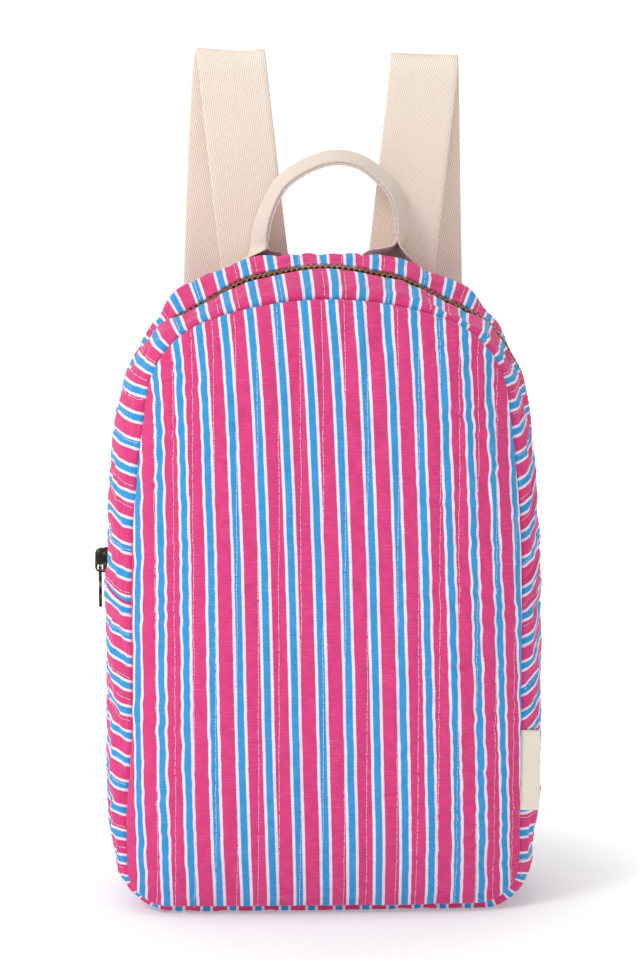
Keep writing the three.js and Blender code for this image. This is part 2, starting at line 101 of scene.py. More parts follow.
# Where one side of the gusset differs: side, middle and spread from the top, then the added swell, lean and
# depth of the zip.
GUSSET_SIDES = (
    (-1, 62, 20, 0, 0, 2),
    (-1, 124, 24, 1.3, 0, 1.5),
    (-1, 96, 18, -0.4, -2.4, 0),
    (-1, 347, 16, -5, 0, 0),
    (1, 84, 18, 0, 4.4, -1.2),
    (1, 116, 22, -2, 0, -4.9),
    (1, 172, 32, -1.4, 0, 0),
)
TAPE_HALF_WIDTH = 11.0
TAPE_LEVELS = (-3.9, -4.7)
# A tooth's size along the zip, across it and out of it, its place aside of the zip's middle, and how far it
# lies below the bands.
TOOTH_SIZE = (1.42, 3.6, 2.7)
TOOTH_ASIDE = 0.95
TOOTH_SUNK = 1.0
SLIDER_AT = -189.0
PULL_LIES_AT = 214.0

FRONT_DOME = 24.0
BACK_DOME = 9.0

# Points along and across the quilted pieces.
PANEL_GRID = (211, 241)
BAND_GRID = (361, 37)
FOOT_GRID = (409, 61)
# The simulation takes one point in so many, and runs for so many frames.
PUFF_STEP = 3
PUFF_FRAMES = 20
# Relief of the cloth: tugs beside the stitches, sunk stitch lines, gathers and the roll at seams.
TUG_HEIGHT = 0.27
STITCH_SINK = 0.3
GATHER_HEIGHT = 0.45
SEAM_ROLL_WIDTH = 4.0
JOIN_SINK = 2.2
STITCH_RADIUS = 0.15
STITCH_LIFT = 0.06

# Cloth length of the print across a panel: powers of the place across over 90 mm down the rows,
# powers of the height from 150 mm over 140 mm along them.
PRINT_DRIFT = (
    (4.49, 3.91, 1.28, 1.04),
    (90.3, 1.66, -0.33, -2.79),
    (0.76, -0.46, -0.17, -0.04),
    (0.14, 3.33, 1.07, 0.87),
)
# Lines of quilting stitches across a panel, from its middle.
QUILT_LINES = (
    -83.6, -73.7, -63.8, -53.5, -43.1, -33.2, -23.4, -13.2, -2.9,
    7.3, 17.7, 32.0, 41.7, 51.9, 61.3, 71.1, 81.3, 92.4,
)
# How far the gusset's cloth climbs on each side for each millimetre back from the front seam, and the
# depth over which the climb levels off.
LEFT_CLIMB = 0.33
RIGHT_CLIMB = 0.85
CLIMB_DEPTH = 16.0
# Stretch of the print on the foot's gusset, and its shift above the label, below it and on the left.
FOOT_PRINT = (1.048, -4.4, -1.2, -5.0)
# Shift of the print on the back band and the front band, and how far the front one's drifts to each side.
BACK_BAND_SHIFT = -0.2
FRONT_BAND_SHIFT = -4.0
FRONT_BAND_DRIFT = 1.2
# How far the left edge of the front panel spreads towards its foot.
FOOT_FLARE = 3.2

WEBBING_HALF_WIDTH = 16.4
WEBBING_THICKNESS = 2.0
STRAP_OFFSET = 4.0

# Each shoulder strap from the top seam over its fold to the foot: distance out from the straps' middle,
# y, z and lean in degrees. Both end in the same run down to the foot.
STRAP_FOOT = (
    (57, 64.5, 105, -2),
    (59, 55, 45, -2),
    (59.8, 46, 17, -2),
    (60, 39.4, 6.2, -2),
)
LEFT_STRAP = (
    (33.8, 40.2, 289.9, 12),
    (34.6, 40.9, 296.5, 10),
    (37.0, 41, 317, 7),
    (39.8, 41, 342, 6.2),
    (44.9, 42, 389, 4.5),
    (45.8, 42.6, 398, 2.5),
    (46.5, 46.2, 402.4, 0),
    (47.6, 49.8, 398, -1),
    (48.6, 50.8, 389, -2),
    (52.8, 60, 300, -2),
    (55, 67, 200, -2),
    *STRAP_FOOT,
)
RIGHT_STRAP = (
    (34.2, 40.2, 289.9, 12),
    (35.0, 40.9, 296.5, 10),
    (37.4, 41, 317, 7.4),
    (40.2, 41, 342, 6.8),
    (45.2, 42, 387, 5.5),
    (46.0, 42.6, 395, 3.5),
    (46.5, 46.2, 400, 1),
    (46.9, 49, 395, -1),
    (47.2, 49.2, 387, -2),
    (49.6, 55.8, 300, -2),
    (53.4, 67, 200, -2),
    *STRAP_FOOT,
)

# The handle's spine from its left foot: x, z, opening of its halves to each side and tilt of their edges to
# the inside of the arch, in degrees.
HANDLE_STATIONS = (
    (-31, 293.4, 84, 0),
    (-31.6, 298, 75, 0),
    (-32.2, 301.5, 62, 2),
    (-32.7, 304, 47, 10),
    (-33, 306.5, 24, 24),
    (-33, 310, 2, 28),
    (-31.6, 318, 0.3, 24),
    (-28.5, 327.6, 0.3, 20),
    (-20.1, 342.2, 0.3, 16),
    (-6.1, 351.4, 0.3, 15),
    (7.2, 354.9, 0.3, 15),
    (20.8, 352.1, 0.3, 16),
    (36.3, 338.8, 0.3, 19),
    (40.5, 327.3, 0.3, 20),
    (40.1, 317.8, 0.3, 15),
    (37.8, 311, 3, 6),
    (36, 306.5, 29, -2),
    (34.6, 302.5, 55, -2),
    (33.6, 298, 74, 0),
    (33, 293.4, 84, 0),
)
HANDLE_THICKNESS = 1.5

LABEL_FROM_TOP = 265.2
LABEL_HEIGHT = 39.0
LABEL_REACH = 11.5
LABEL_DROOP = 0.26
LABEL_THICKNESS = 0.8

# Each studio light: place in metres, size and power.
LIGHTS = (
    ("overhead", (-0.25, -0.3, 2.0), 1.4, 12.4),
    ("key", (-1.3, -1.12, 1.72), 0.7, 18.0),
    ("fill", (0.0, -2.3, 0.35), 1.4, 1.5),
)
WORLD_STRENGTH = 0.345


def linear(red, green, blue):
    """A display colour from 0 to 255 as linear light."""
    channels = [c / 255 for c in (red, green, blue)]
    return tuple(c / 12.92 if c <= 0.04045 else ((c + 0.055) / 1.055) ** 2.4 for c in channels)


def length_setting(name, description, default):
    """A length in metres."""
    return bpy.props.FloatProperty(name=name, description=description, default=default, unit="LENGTH")


def colour_setting(name, description, *display):
    """A colour, given as a display colour from 0 to 255."""
    default = linear(*display)
    return bpy.props.FloatVectorProperty(name=name, description=description, default=default, subtype="COLOR")


class BackpackSettings(bpy.types.PropertyGroup):
    """Sizes and colours of the backpack's finish."""

    stripe_pitch: length_setting("Stripe Pitch", "From one blue stripe to the next", 0.0126)
    blue_width: length_setting("Blue Width", "Width of a blue stripe", 0.0032)
    white_width: length_setting("White Width", "Width of a white stripe", 0.00135)
    quilt_pitch: length_setting("Quilt Pitch", "Between two lines of quilting stitches", 0.0103)
    quilt_depth: length_setting("Quilt Depth", "How far the wadding puffs between stitches", 0.0011)
    stitch_pitch: length_setting("Stitch Pitch", "From one quilting stitch to the next", 0.0036)
    stitch_length: length_setting("Stitch Length", "Length of one quilting stitch", 0.0034)
    tooth_pitch: length_setting("Tooth Pitch", "Between two zip teeth on the same side", 0.00254)
    pink: colour_setting("Pink", "Ground colour of the cotton", 222, 66, 130)
    blue: colour_setting("Blue", "Colour of the blue stripes", 54, 156, 219)
    white: colour_setting("White", "Colour of the white stripes", 241, 232, 246)
    slub: colour_setting("Slub", "Colour of the thick threads across the cotton", 250, 226, 238)
    webbing: colour_setting("Webbing", "Colour of the straps and the handle", 250, 236, 222)
    # Painted shade: the darker colour that is painted into the hollows between the webbing's ribs.
    webbing_shade: colour_setting("Webbing Shade", "Colour between the ribs of the webbing", 226, 204, 184)
    label: colour_setting("Label", "Colour of the side label", 252, 241, 224)
    brass: colour_setting("Brass", "Colour of the zip teeth", 168, 120, 84)
    bronze: colour_setting("Bronze", "Colour of the slider and its pull", 38, 35, 28)
    tape: colour_setting("Tape", "Colour of the zip tape", 120, 48, 72)


# Seam line and gusset


def run_length(radius, extent):
    return radius * math.radians(extent) if radius else extent


HALF_SEAM = sum(run_length(radius, extent) for _, radius, extent in SEAM_RUNS)
SHOULDER_END = sum(run_length(radius, extent) for _, radius, extent in SEAM_RUNS[:2])
CORNER_START = sum(run_length(radius, extent) for _, radius, extent in SEAM_RUNS[:4])


def smoothstep(value, low, high):
    share = np.clip((value - low) / (high - low), 0, 1)
    return share * share * (3 - 2 * share)


def bell(value, spread):
    return np.exp(-((value / spread) ** 2))


def arc_drop(radius, x):
    """How far an arc falls away from its top at x."""
    return radius - np.sqrt(radius**2 - x**2)


def dome_share(t, roundness, fullness):
    return np.maximum(0, 1 - np.abs(t) ** roundness) ** fullness


def walk_seam(distance):
    """Place and heading after some distance along the right half of the seam."""
    x = np.zeros_like(distance)
    z = np.zeros_like(distance)
    turned = np.zeros_like(distance)
    heading = 0.0
    left = distance
    for _, radius, extent in SEAM_RUNS:
        length = run_length(radius, extent)
        step = np.clip(left, 0, length)
        if radius:
            end = heading + step / radius
            x += radius * (np.sin(end) - math.sin(heading))
            z += radius * (np.cos(end) - math.cos(heading))
            turned += step / radius
            heading += math.radians(extent)
        else:
            x += step * math.cos(heading)
            z -= step * math.sin(heading)
        left = left - length
    return x, z, turned


SEAM_TOP = SEAM_LIFT - walk_seam(np.array([HALF_SEAM]))[1][0]


def seam_at(s):
    """Seam point, outward direction and distance from the top. s runs down the right side and wraps round."""
    s = np.asarray(s, float)
    wrapped = np.where(s > HALF_SEAM, s - 2 * HALF_SEAM, s)
    mirror = np.where(wrapped < 0, -1.0, 1.0)
    from_top = np.abs(wrapped)
    x, z, heading = walk_seam(from_top)
    return mirror * x, SEAM_TOP + z, mirror * np.sin(heading), np.cos(heading), from_top


def gusset_rise(from_top, y, side):
    """How far the gusset stands outside the seam line."""
    places, swells, leans, grooves = np.array(GUSSET_ROWS, float).T
    row = np.clip(np.searchsorted(places, from_top) - 1, 0, len(places) - 2)
    share = smoothstep(from_top, places[row], places[row + 1])
    swell, lean, groove = (v[row] + (v[row + 1] - v[row]) * share for v in (swells, leans, grooves))
    for where, middle, spread, more_swell, more_lean, more_groove in GUSSET_SIDES:
        near = np.where(side * where > 0, bell(from_top - middle, spread), 0.0)
        swell = swell + more_swell * near
        lean = lean + more_lean * near
        groove = groove + more_groove * near
    t = y / SEAM_HALF_DEPTH
    fade = smoothstep(ZIP_HALF_LENGTH - from_top, 0, ZIP_GROOVE_FADE)
    groove = groove * fade * bell(y, ZIP_GROOVE_HALF_WIDTH)
    return swell * dome_share(t, 2.4, 0.6) + lean * t * (1 - t**2) - groove


def flared(x, y, z):
    """x with the spread of the front panel's lower left edge."""
    low = 1 - smoothstep(z, 40, 100)
    return x - FOOT_FLARE * low * smoothstep(-x, 45, 91) * smoothstep(-y, 8, 34)


def gusset_surface(s, y):
    x, z, out_x, out_z, from_top = seam_at(s)
    rise = gusset_rise(from_top, y, x)
    x, z = x + out_x * rise, np.maximum(0, z + out_z * rise)
    return np.stack([flared(x, y, z), y + 0 * s, z], -1)


def unit(vectors):
    return vectors / np.maximum(np.linalg.norm(vectors, axis=-1, keepdims=True), 1e-12)


def path_lengths(points):
    """Length along a line of points, up to each of them."""
    return np.concatenate([[0], np.cumsum(np.linalg.norm(np.diff(points, axis=0), axis=-1))])


def sampled(places, lengths, rows):
    """Rows of a table at places between the lengths that its rows stand at."""
    return np.stack([np.interp(places, lengths, rows[:, k]) for k in range(rows.shape[1])], -1)


def surface_normal(surface, a, b, step_a, step_b):
    da = surface(a + step_a, b) - surface(a - step_a, b)
    db = surface(a, b + step_b) - surface(a, b - step_b)
    return unit(np.cross(da, db))


def gusset_length(s, y):
    """Cloth length along the gusset from the middle of the top, taken at one depth."""
    half = np.linspace(0, HALF_SEAM, 1200)
    points = gusset_surface(half, np.full_like(half, y))
    lengths = path_lengths(points)
    total = lengths[-1]
    s = np.asarray(s, float)
    folded = np.where(np.abs(s) > HALF_SEAM, 2 * HALF_SEAM - np.abs(s), np.abs(s))
    length = np.interp(folded, half, lengths)
    length = np.where(np.abs(s) > HALF_SEAM, 2 * total - length, length)
    return np.sign(s) * length


# Panels


def flank_half_width(z):
    above = np.maximum(0, z - FLANK_START)
    return PANEL_HALF_WIDTH - arc_drop(FLANK_RADIUS, above)


def column_x(u, z):
    return u * PANEL_HALF_WIDTH - u**5 * (PANEL_HALF_WIDTH - flank_half_width(z))


def seam_height(u, start, end):
    """Height where a panel's columns meet the seam, searched between two distances from the top."""
    inward = -1 if start > HALF_SEAM / 2 else 1
    low = np.full_like(u, start)
    high = np.full_like(u, end)
    for _ in range(45):
        middle = (low + high) / 2
        x, z, *_ = seam_at(middle)
        before = inward * (x - column_x(u, z)) < 0
        low = np.where(before, middle, low)
        high = np.where(before, high, middle)
    return seam_at((low + high) / 2)[1]


def panel_surface(face, dome):
    """The smooth face of a panel, by its share across from -1 to 1 and its share up from 0 to 1."""

    def surface(u, t):
        column = np.abs(u)
        low = seam_height(column, CORNER_START, HALF_SEAM)
        high = seam_height(column, 0.0, SHOULDER_END)
        z = low + (high - low) * t
        out = SEAM_HALF_DEPTH + SEAM_GAP
        out = out + dome * dome_share(u, 3.2, 0.7) * dome_share(2 * t - 1, 6, 0.7)
        return np.stack([flared(column_x(u, z) * -face, face * out, z), face * out, z], -1)

    return surface


def eased(count, share=0.55):
    """Steps from -1 to 1 that close up towards both ends."""
    v = np.linspace(-1, 1, count)
    return share * np.sin(v * math.pi / 2) + (1 - share) * v


# Relief of the quilting


def smooth_noise(x, y, seed):
    """Seeded lattice noise from -1 to 1."""
    lattice = np.random.RandomState(seed).uniform(-1, 1, (64, 64))
    x, y = np.broadcast_arrays(x, y)
    column, row = np.floor(x).astype(int), np.floor(y).astype(int)
    fx, fy = smoothstep(x - column, 0, 1), smoothstep(y - row, 0, 1)
    low = lattice[column % 64, row % 64] * (1 - fx) + lattice[(column + 1) % 64, row % 64] * fx
    high = lattice[column % 64, (row + 1) % 64] * (1 - fx) + lattice[(column + 1) % 64, (row + 1) % 64] * fx
    return low * (1 - fy) + high * fy


def line_distance(across, lines):
    """Distance to the nearest stitch line, that line's number and the width of the channel."""
    lines = np.asarray(lines, float)
    after = np.clip(np.searchsorted(lines, across), 1, len(lines) - 1)
    before = after - 1
    to_before, to_after = np.abs(across - lines[before]), np.abs(lines[after] - across)
    nearest = np.where(to_before < to_after, before, after)
    return np.minimum(to_before, to_after), nearest, lines[after] - lines[before]


def cubic_resample(values, places):
    """Values of a table's rows at fractional row numbers, along a smooth curve."""
    row = np.clip(np.floor(places).astype(int), 0, len(values) - 2)
    f = (places - row)[:, None]
    around = [values[np.clip(row + k, 0, len(values) - 1)] for k in (-1, 0, 1, 2)]
    weights = (
        -0.5 * f + f**2 - 0.5 * f**3,
        1 - 2.5 * f**2 + 1.5 * f**3,
        0.5 * f + 2 * f**2 - 1.5 * f**3,
        -0.5 * f**2 + 0.5 * f**3,
    )
    return sum(w * v for w, v in zip(weights, around))


def simulated_puff(points, held, cap):
    """Blows up a sheet of cloth between its held points, and gives how far each point rises, capped."""
    columns, rows = points.shape[:2]
    index = np.arange(columns * rows).reshape(columns, rows)
    quads = grid_quads(index)
    mesh = bpy.data.meshes.new("puff_study")
    mesh.from_pydata((points.reshape(-1, 3) * MM).tolist(), [], quads.tolist())
    obj = bpy.data.objects.new("puff_study", mesh)
    scene = bpy.context.scene
    scene.collection.objects.link(obj)
    group = obj.vertex_groups.new(name="held")
    for number, weight in enumerate(held.ravel().tolist()):
        if weight > 0.01:
            group.add([number], weight, "REPLACE")
    cloth = obj.modifiers.new("puff", "CLOTH")
    cloth.collision_settings.use_collision = False
    cloth.settings.quality = 5
    cloth.settings.mass = 0.2
    cloth.settings.tension_stiffness = 12.0
    cloth.settings.compression_stiffness = 12.0
    cloth.settings.shear_stiffness = 4.0
    cloth.settings.bending_stiffness = 0.2
    cloth.settings.air_damping = 2.0
    cloth.settings.vertex_group_mass = "held"
    cloth.settings.shrink_min = -0.025
    cloth.settings.use_pressure = True
    cloth.settings.uniform_pressure_force = 4.0
    cloth.settings.effector_weights.gravity = 0.0
    cloth.point_cache.frame_start = 1
    cloth.point_cache.frame_end = PUFF_FRAMES
    for frame_number in range(1, PUFF_FRAMES + 1):
        scene.frame_set(frame_number)
    puffed = obj.evaluated_get(bpy.context.evaluated_depsgraph_get()).to_mesh()
    moved = np.zeros(columns * rows * 3)
    puffed.vertices.foreach_get("co", moved)
    bpy.data.objects.remove(obj)
    bpy.data.meshes.remove(mesh)
    scene.frame_set(1)
    step = moved.reshape(points.shape) / MM - points
    rise = np.sum(step * grid_normals(points), -1)
    return cap * np.tanh(rise / cap)


def stitch_hold(near, from_line):
    """How firmly the cloth is held at its edges and along its stitch lines."""
    return np.maximum(bell(near, 1.5), 0.8 * bell(from_line, 1.3))


def crease_relief(from_line, nearest, along, edge, seed):
    """Fine relief over the puffs: the sunk stitch lines, the tugs beside them, and the gathers at seams."""
    tug = smooth_noise(along / 2.6, nearest * 7.3 + seed, seed) * bell(from_line, 3.0)
    relief = TUG_HEIGHT * tug - STITCH_SINK * bell(from_line, 0.9)
    gather = smooth_noise(along / 5.2, nearest * 0.37, seed + 2) * bell(edge - 5.5, 5.0)
    return relief * smoothstep(edge, 0, 4) + GATHER_HEIGHT * gather * smoothstep(edge, 0, 2.5)


def seam_roll(height, edge):
    """Roll of the cloth beside a seam, highest at one roll's width from it."""
    return height * edge / SEAM_ROLL_WIDTH * np.exp(1 - edge / SEAM_ROLL_WIDTH)


def grid_quads(index):
    """Faces between the points of a grid, by the points' numbers."""
    return np.stack([index[:-1, :-1], index[1:, :-1], index[1:, 1:], index[:-1, 1:]], -1).reshape(-1, 4)


def grid_normals(points):
    da = np.gradient(points, axis=0)
    db = np.gradient(points, axis=1)
    return unit(np.cross(da, db))


def edge_distance(points):
    """Distance of each point of a grid from its nearer side and its nearer end, along the grid's lines."""
    across = np.linalg.norm(np.diff(points, axis=0), axis=-1)
    along = np.linalg.norm(np.diff(points, axis=1), axis=-1)
    from_left = np.concatenate([np.zeros((1, points.shape[1])), np.cumsum(across, 0)])
    from_foot = np.concatenate([np.zeros((points.shape[0], 1)), np.cumsum(along, 1)], 1)
    sideways = np.minimum(from_left, from_left[-1:] - from_left)
    upright = np.minimum(from_foot, from_foot[:, -1:] - from_foot)
    return sideways, upright


# Meshes


def mesh_piece(name, points, faces, material, cloth=None):
    """A mesh from points in millimetres. cloth gives each point's place on the flat cloth."""
    mesh = bpy.data.meshes.new(name)
    mesh.from_pydata((np.asarray(points) * MM).tolist(), [], faces)
    mesh.validate()
    if cloth is not None:
        corners = np.zeros(len(mesh.loops), np.int64)
        mesh.loops.foreach_get("vertex_index", corners)
        layer = mesh.uv_layers.new(name="cloth")
        layer.data.foreach_set("uv", np.asarray(cloth, np.float32)[corners].ravel())
    mesh.polygons.foreach_set("use_smooth", [True] * len(mesh.polygons))
    mesh.materials.append(material)
    obj = bpy.data.objects.new(name, mesh)
    bpy.context.scene.collection.objects.link(obj)
    return obj


def quilted_piece(name, outer, inner, cloth, material, coarse=4):
    """A closed wall. Its inner face takes one point in so many, and its rims join the two."""
    columns, rows = outer.shape[:2]
    index = np.arange(columns * rows).reshape(columns, rows)
    lining = inner[::coarse, ::coarse]
    lining_index = columns * rows + np.arange(lining[..., 0].size).reshape(lining.shape[:2])
    quads = grid_quads(index)
    back = grid_quads(lining_index)[:, [0, 3, 2, 1]]
    faces = quads.tolist() + back.tolist()
    edges = (
        (index[:, 0], lining_index[:, 0], False),
        (index[:, -1], lining_index[:, -1], True),
        (index[0, :], lining_index[0, :], True),
        (index[-1, :], lining_index[-1, :], False),
    )
    for outside, inside, flipped in edges:
        for k in range(len(inside) - 1):
            rim = outside[k * coarse : (k + 1) * coarse + 1].tolist()[::-1] + [inside[k], inside[k + 1]]
            faces.append(rim[::-1] if flipped else rim)
    points = np.concatenate([outer.reshape(-1, 3), lining.reshape(-1, 3)])
    flat = np.concatenate([cloth.reshape(-1, 2), cloth[::coarse, ::coarse].reshape(-1, 2)])
    return mesh_piece(name, points, faces, material, flat)


def loft_faces(count, around):
    """Faces of a closed solid through so many rings of so many points."""
    index = np.arange(count * around).reshape(count, around)
    beside = np.roll(index, -1, axis=1)
    quads = np.stack([index[:-1], beside[:-1], beside[1:], index[1:]], -1).reshape(-1, 4).tolist()
    return quads + [index[0][::-1].tolist(), index[-1].tolist()]


def loft_piece(name, rings, cloth, material):
    """A closed solid through rings of points."""
    faces = loft_faces(*rings.shape[:2])
    return mesh_piece(name, rings.reshape(-1, 3), faces, material, cloth.reshape(-1, 2))


def copies_piece(name, template, faces, centres, axes, material):
    """One mesh with a copy of a small template at each centre, turned to that centre's three axes."""
    placed = centres[:, None, :] + np.einsum("vk,nkd->nvd", template, axes)
    count = len(template)
    shifted = [[corner + k * count for corner in face] for k in range(len(centres)) for face in faces]
    return mesh_piece(name, placed.reshape(-1, 3), shifted, material)


def along_path(points, pitch, start):
    """Places, points and directions at even steps along a line of points."""
    lengths = path_lengths(points)
    places = np.arange(start, lengths[-1] - start, pitch)
    centres = sampled(places, lengths, points)
    return places, centres, unit(sampled(places + 0.4, lengths, points) - centres)


# Shading


def binary(operation):
    return lambda self, other: self.apply(operation, self, other)


def swapped(operation):
    return lambda self, other: self.apply(operation, other, self)


def single(operation):
    return lambda self: self.apply(operation, self)


class Field:
    """A shader socket that takes part in Python arithmetic."""

    def __init__(self, graph, socket):
        self.graph = graph
        self.socket = socket

    def apply(self, operation, *operands):
        node = self.graph.add("ShaderNodeMath", {"operation": operation}, dict(enumerate(operands)))
        return Field(self.graph, node.outputs[0])

    __add__ = binary("ADD")
    __radd__ = swapped("ADD")
    __sub__ = binary("SUBTRACT")
    __rsub__ = swapped("SUBTRACT")
    __mul__ = binary("MULTIPLY")
    __truediv__ = binary("DIVIDE")
    __pow__ = binary("POWER")
    __abs__ = single("ABSOLUTE")
    fraction = single("FRACT")
    sine = single("SINE")

    def below(self, edge, soft):
        """1 where the value is below the edge and 0 above it, with a soft step between."""
        node = self.graph.add(
            "ShaderNodeMapRange",
            {"interpolation_type": "SMOOTHSTEP", "clamp": True},
            {"Value": self, "From Min": edge - soft, "From Max": edge + soft, "To Min": 1.0, "To Max": 0.0},
        )
        return Field(self.graph, node.outputs[0])


class Graph:
    """The node tree of one material, with a Principled surface."""

    def __init__(self, name):
        self.material = bpy.data.materials.new(name)
        self.material.use_nodes = True
        self.tree = self.material.node_tree
        self.tree.nodes.clear()
        self.surface = self.add("ShaderNodeBsdfPrincipled")
        output = self.add("ShaderNodeOutputMaterial")
        self.tree.links.new(self.surface.outputs[0], output.inputs["Surface"])

    def add(self, kind, settings=None, inputs=None):
        node = self.tree.nodes.new(kind)
        for key, value in (settings or {}).items():
            setattr(node, key, value)
        for key, value in (inputs or {}).items():
            if isinstance(value, Field):
                self.tree.links.new(value.socket, node.inputs[key])
            else:
                node.inputs[key].default_value = value
        return node

    def field(self, node, key=0):
        return Field(self, node.outputs[key])

    def cloth(self):
        """Place on the flat cloth, in millimetres."""
        node = self.add("ShaderNodeUVMap", {"uv_map": "cloth"})
        parts = self.add("ShaderNodeSeparateXYZ", None, {0: self.field(node)})
        return self.field(parts, 0), self.field(parts, 1)

    def place(self):
        """Place on the object, in metres."""
        return self.field(self.add("ShaderNodeTexCoord"), "Object")

    def noise(self, vector, scale, detail=2.0, roughness=0.5):
        inputs = {"Vector": vector, "Scale": scale, "Detail": detail, "Roughness": roughness}
        return self.field(self.add("ShaderNodeTexNoise", {"noise_dimensions": "3D"}, inputs))

    def cloth_noise(self, across, along, detail=2.0, roughness=0.5):
        vector = self.add("ShaderNodeCombineXYZ", None, {0: across, 1: along, 2: 0.0})
        return self.noise(self.field(vector), 1.0, detail, roughness)

    def mix(self, factor, first, second):
        settings = {"data_type": "RGBA", "blend_type": "MIX", "clamp_factor": True}
        colours = [c if isinstance(c, Field) else (*c[:3], 1.0) for c in (first, second)]
        return self.field(self.add("ShaderNodeMix", settings, {0: factor, 6: colours[0], 7: colours[1]}), 2)

    def shade(self, colour, amount):
        """A colour made lighter or darker by a value around 1."""
        node = self.add("ShaderNodeVectorMath", {"operation": "SCALE"}, {0: colour, "Scale": amount})
        return self.field(node)

    def bump(self, height, distance, strength=1.0):
        inputs = {"Height": height, "Distance": distance, "Strength": strength}
        return self.field(self.add("ShaderNodeBump", None, inputs))

    def finish(self, uniform=None, **varying):
        """Feeds the surface's varying inputs, and sets its uniform ones."""
        names = {
            "colour": "Base Color",
            "roughness": "Roughness",
            "metallic": "Metallic",
            "normal": "Normal",
            "glow": "Emission Color",
        }
        for key, value in varying.items():
            self.tree.links.new(value.socket, self.surface.inputs[names[key]])
        for key, value in (uniform or {}).items():
            self.surface.inputs[key].default_value = value
        return self.material


def made_once(make):
    """A material that is made on its first call, and found by its name after that."""

    def find(name, *values):
        return bpy.data.materials.get(name) or make(name, *values)

    return find


@made_once
def striped_cotton(name, settings):
    graph = Graph(name)
    across, along = graph.cloth()
    slub = graph.cloth_noise(across * 0.11, along * 2.3, 3.0, 0.65)
    thread = graph.cloth_noise(across * 3.0, along * 0.25)
    cloud = graph.cloth_noise(across * 0.045, along * 0.045)
    ragged = graph.cloth_noise(across * 0.5, along * 1.3, 3.0, 0.6)
    pitch = settings.stripe_pitch / MM
    blue_edge = settings.blue_width / MM / 2
    white_edge = blue_edge + settings.white_width / MM
    from_blue = abs((across / pitch + 0.5).fraction() - 0.5) * pitch + (ragged - 0.5) * 0.5
    ground = graph.mix(from_blue.below(white_edge, 0.14), settings.pink, settings.white)
    printed = graph.mix(from_blue.below(blue_edge, 0.14), ground, settings.blue)
    faded = graph.mix(1 - slub.below(0.62, 0.06), printed, settings.slub)
    weave = 1 + (slub - 0.5) * 0.42 + (thread - 0.5) * 0.14 + (cloud - 0.5) * 0.1
    return graph.finish(
        {"Sheen Weight": 0.12, "Sheen Roughness": 0.5, "Specular IOR Level": 0.22},
        colour=graph.shade(graph.mix(0.08, printed, faded), weave),
        roughness=0.78 + slub * 0.18,
        normal=graph.bump(slub * 0.7 + thread * 0.3, 0.00018, 0.6),
    )


@made_once
def plain_cotton(name, colour, strength):
    graph = Graph(name)
    across, along = graph.cloth()
    warp = (across * 4.2).sine() * (along * 4.2).sine()
    fuzz = graph.cloth_noise(across * 0.7, along * 0.7, 3.0, 0.6)
    return graph.finish(
        {"Sheen Weight": 0.2, "Specular IOR Level": 0.2},
        # Painted shade on the weave: the colour is lighter where the threads rise and darker between them, on
        # the same checks that the bump draws. Fuzz varies the tone at random.
        colour=graph.shade(tuple(colour), 1 + (fuzz - 0.5) * strength + warp * 0.03),
        roughness=0.82 + fuzz * 0.12,
        normal=graph.bump(warp * 0.5 + fuzz * 0.5, 0.0003, 0.6),
    )


@made_once
def webbing_twill(name, settings, ribbing=1.0, painted_shade_factor=1.0):
    # The last argument darkens a whole copy of the webbing: painted shade.
    ground, rib_shade = ([c * painted_shade_factor for c in colour] for colour in (settings.webbing, settings.webbing_shade))
    graph = Graph(name)
    across, along = graph.cloth()
    wander = graph.cloth_noise(across * 0.3, along * 0.12)
    rib = ((across - along * 0.28 + wander * 0.3) * (2 * math.pi / 1.05)).sine()
    pick = ((along + across * 0.5) * (2 * math.pi / 0.8)).sine()
    fuzz = graph.cloth_noise(across * 1.5, along * 0.8, 3.0, 0.6)
    cloud = graph.cloth_noise(across * 0.06, along * 0.05)
    strand = ((along + abs(across) * 0.8) * (2 * math.pi / 1.7)).sine()
    selvedge = 1 - abs(across).below(14.6, 0.3)
    # Painted shade on the weave: lighter on the ribs and picks, darker in the furrows between them. Fuzz and
    # cloud vary the tone at random.
    shade = 1 + rib * (0.04 * ribbing) + pick * 0.02 + (fuzz - 0.5) * 0.1 + (cloud - 0.5) * 0.06
    shade = shade + selvedge * (strand * 0.035 - 0.02)
    height = rib * (0.6 * ribbing) + pick * 0.15 + fuzz * 0.25 + selvedge * strand * 0.5
    return graph.finish(
        {"Sheen Weight": 0.1, "Sheen Roughness": 0.5, "Specular IOR Level": 0.2},
        # The darker colour mixed into the furrows of the ribs is painted shade.
        colour=graph.shade(graph.mix(rib.below(-0.75, 0.25) * ribbing, ground, rib_shade), shade),
        roughness=0.84 + fuzz * 0.12,
        normal=graph.bump(height, 0.0002, 0.5),
    )


@made_once
def cotton_thread(name, settings):
    graph = Graph(name)
    fuzz = graph.noise(graph.place(), 900.0)
    return graph.finish(
        {"Sheen Weight": 0.2, "Specular IOR Level": 0.25},
        colour=graph.shade(tuple(settings.white), 0.93 + fuzz * 0.14),
        roughness=0.6 + fuzz * 0.2,
        normal=graph.bump(fuzz, 0.0001, 0.5),
    )


@made_once
def worn_metal(name, colour, worn, roughness):
    graph = Graph(name)
    place = graph.place()
    cloud = graph.noise(place, 260.0, 3.0, 0.6)
    grain = graph.noise(place, 2400.0)
    wear = 1 - (cloud + (grain - 0.5) * 0.3).below(0.6, 0.1)
    return graph.finish(
        {"Coat Weight": 0.05},
        colour=graph.mix(wear, colour, worn),
        roughness=roughness + (1 - wear) * 0.14 + (grain - 0.5) * 0.16,
        metallic=0.82 + wear * 0.18,
        normal=graph.bump(grain * 0.4 + cloud * 2, 0.0001, 0.6),
    )


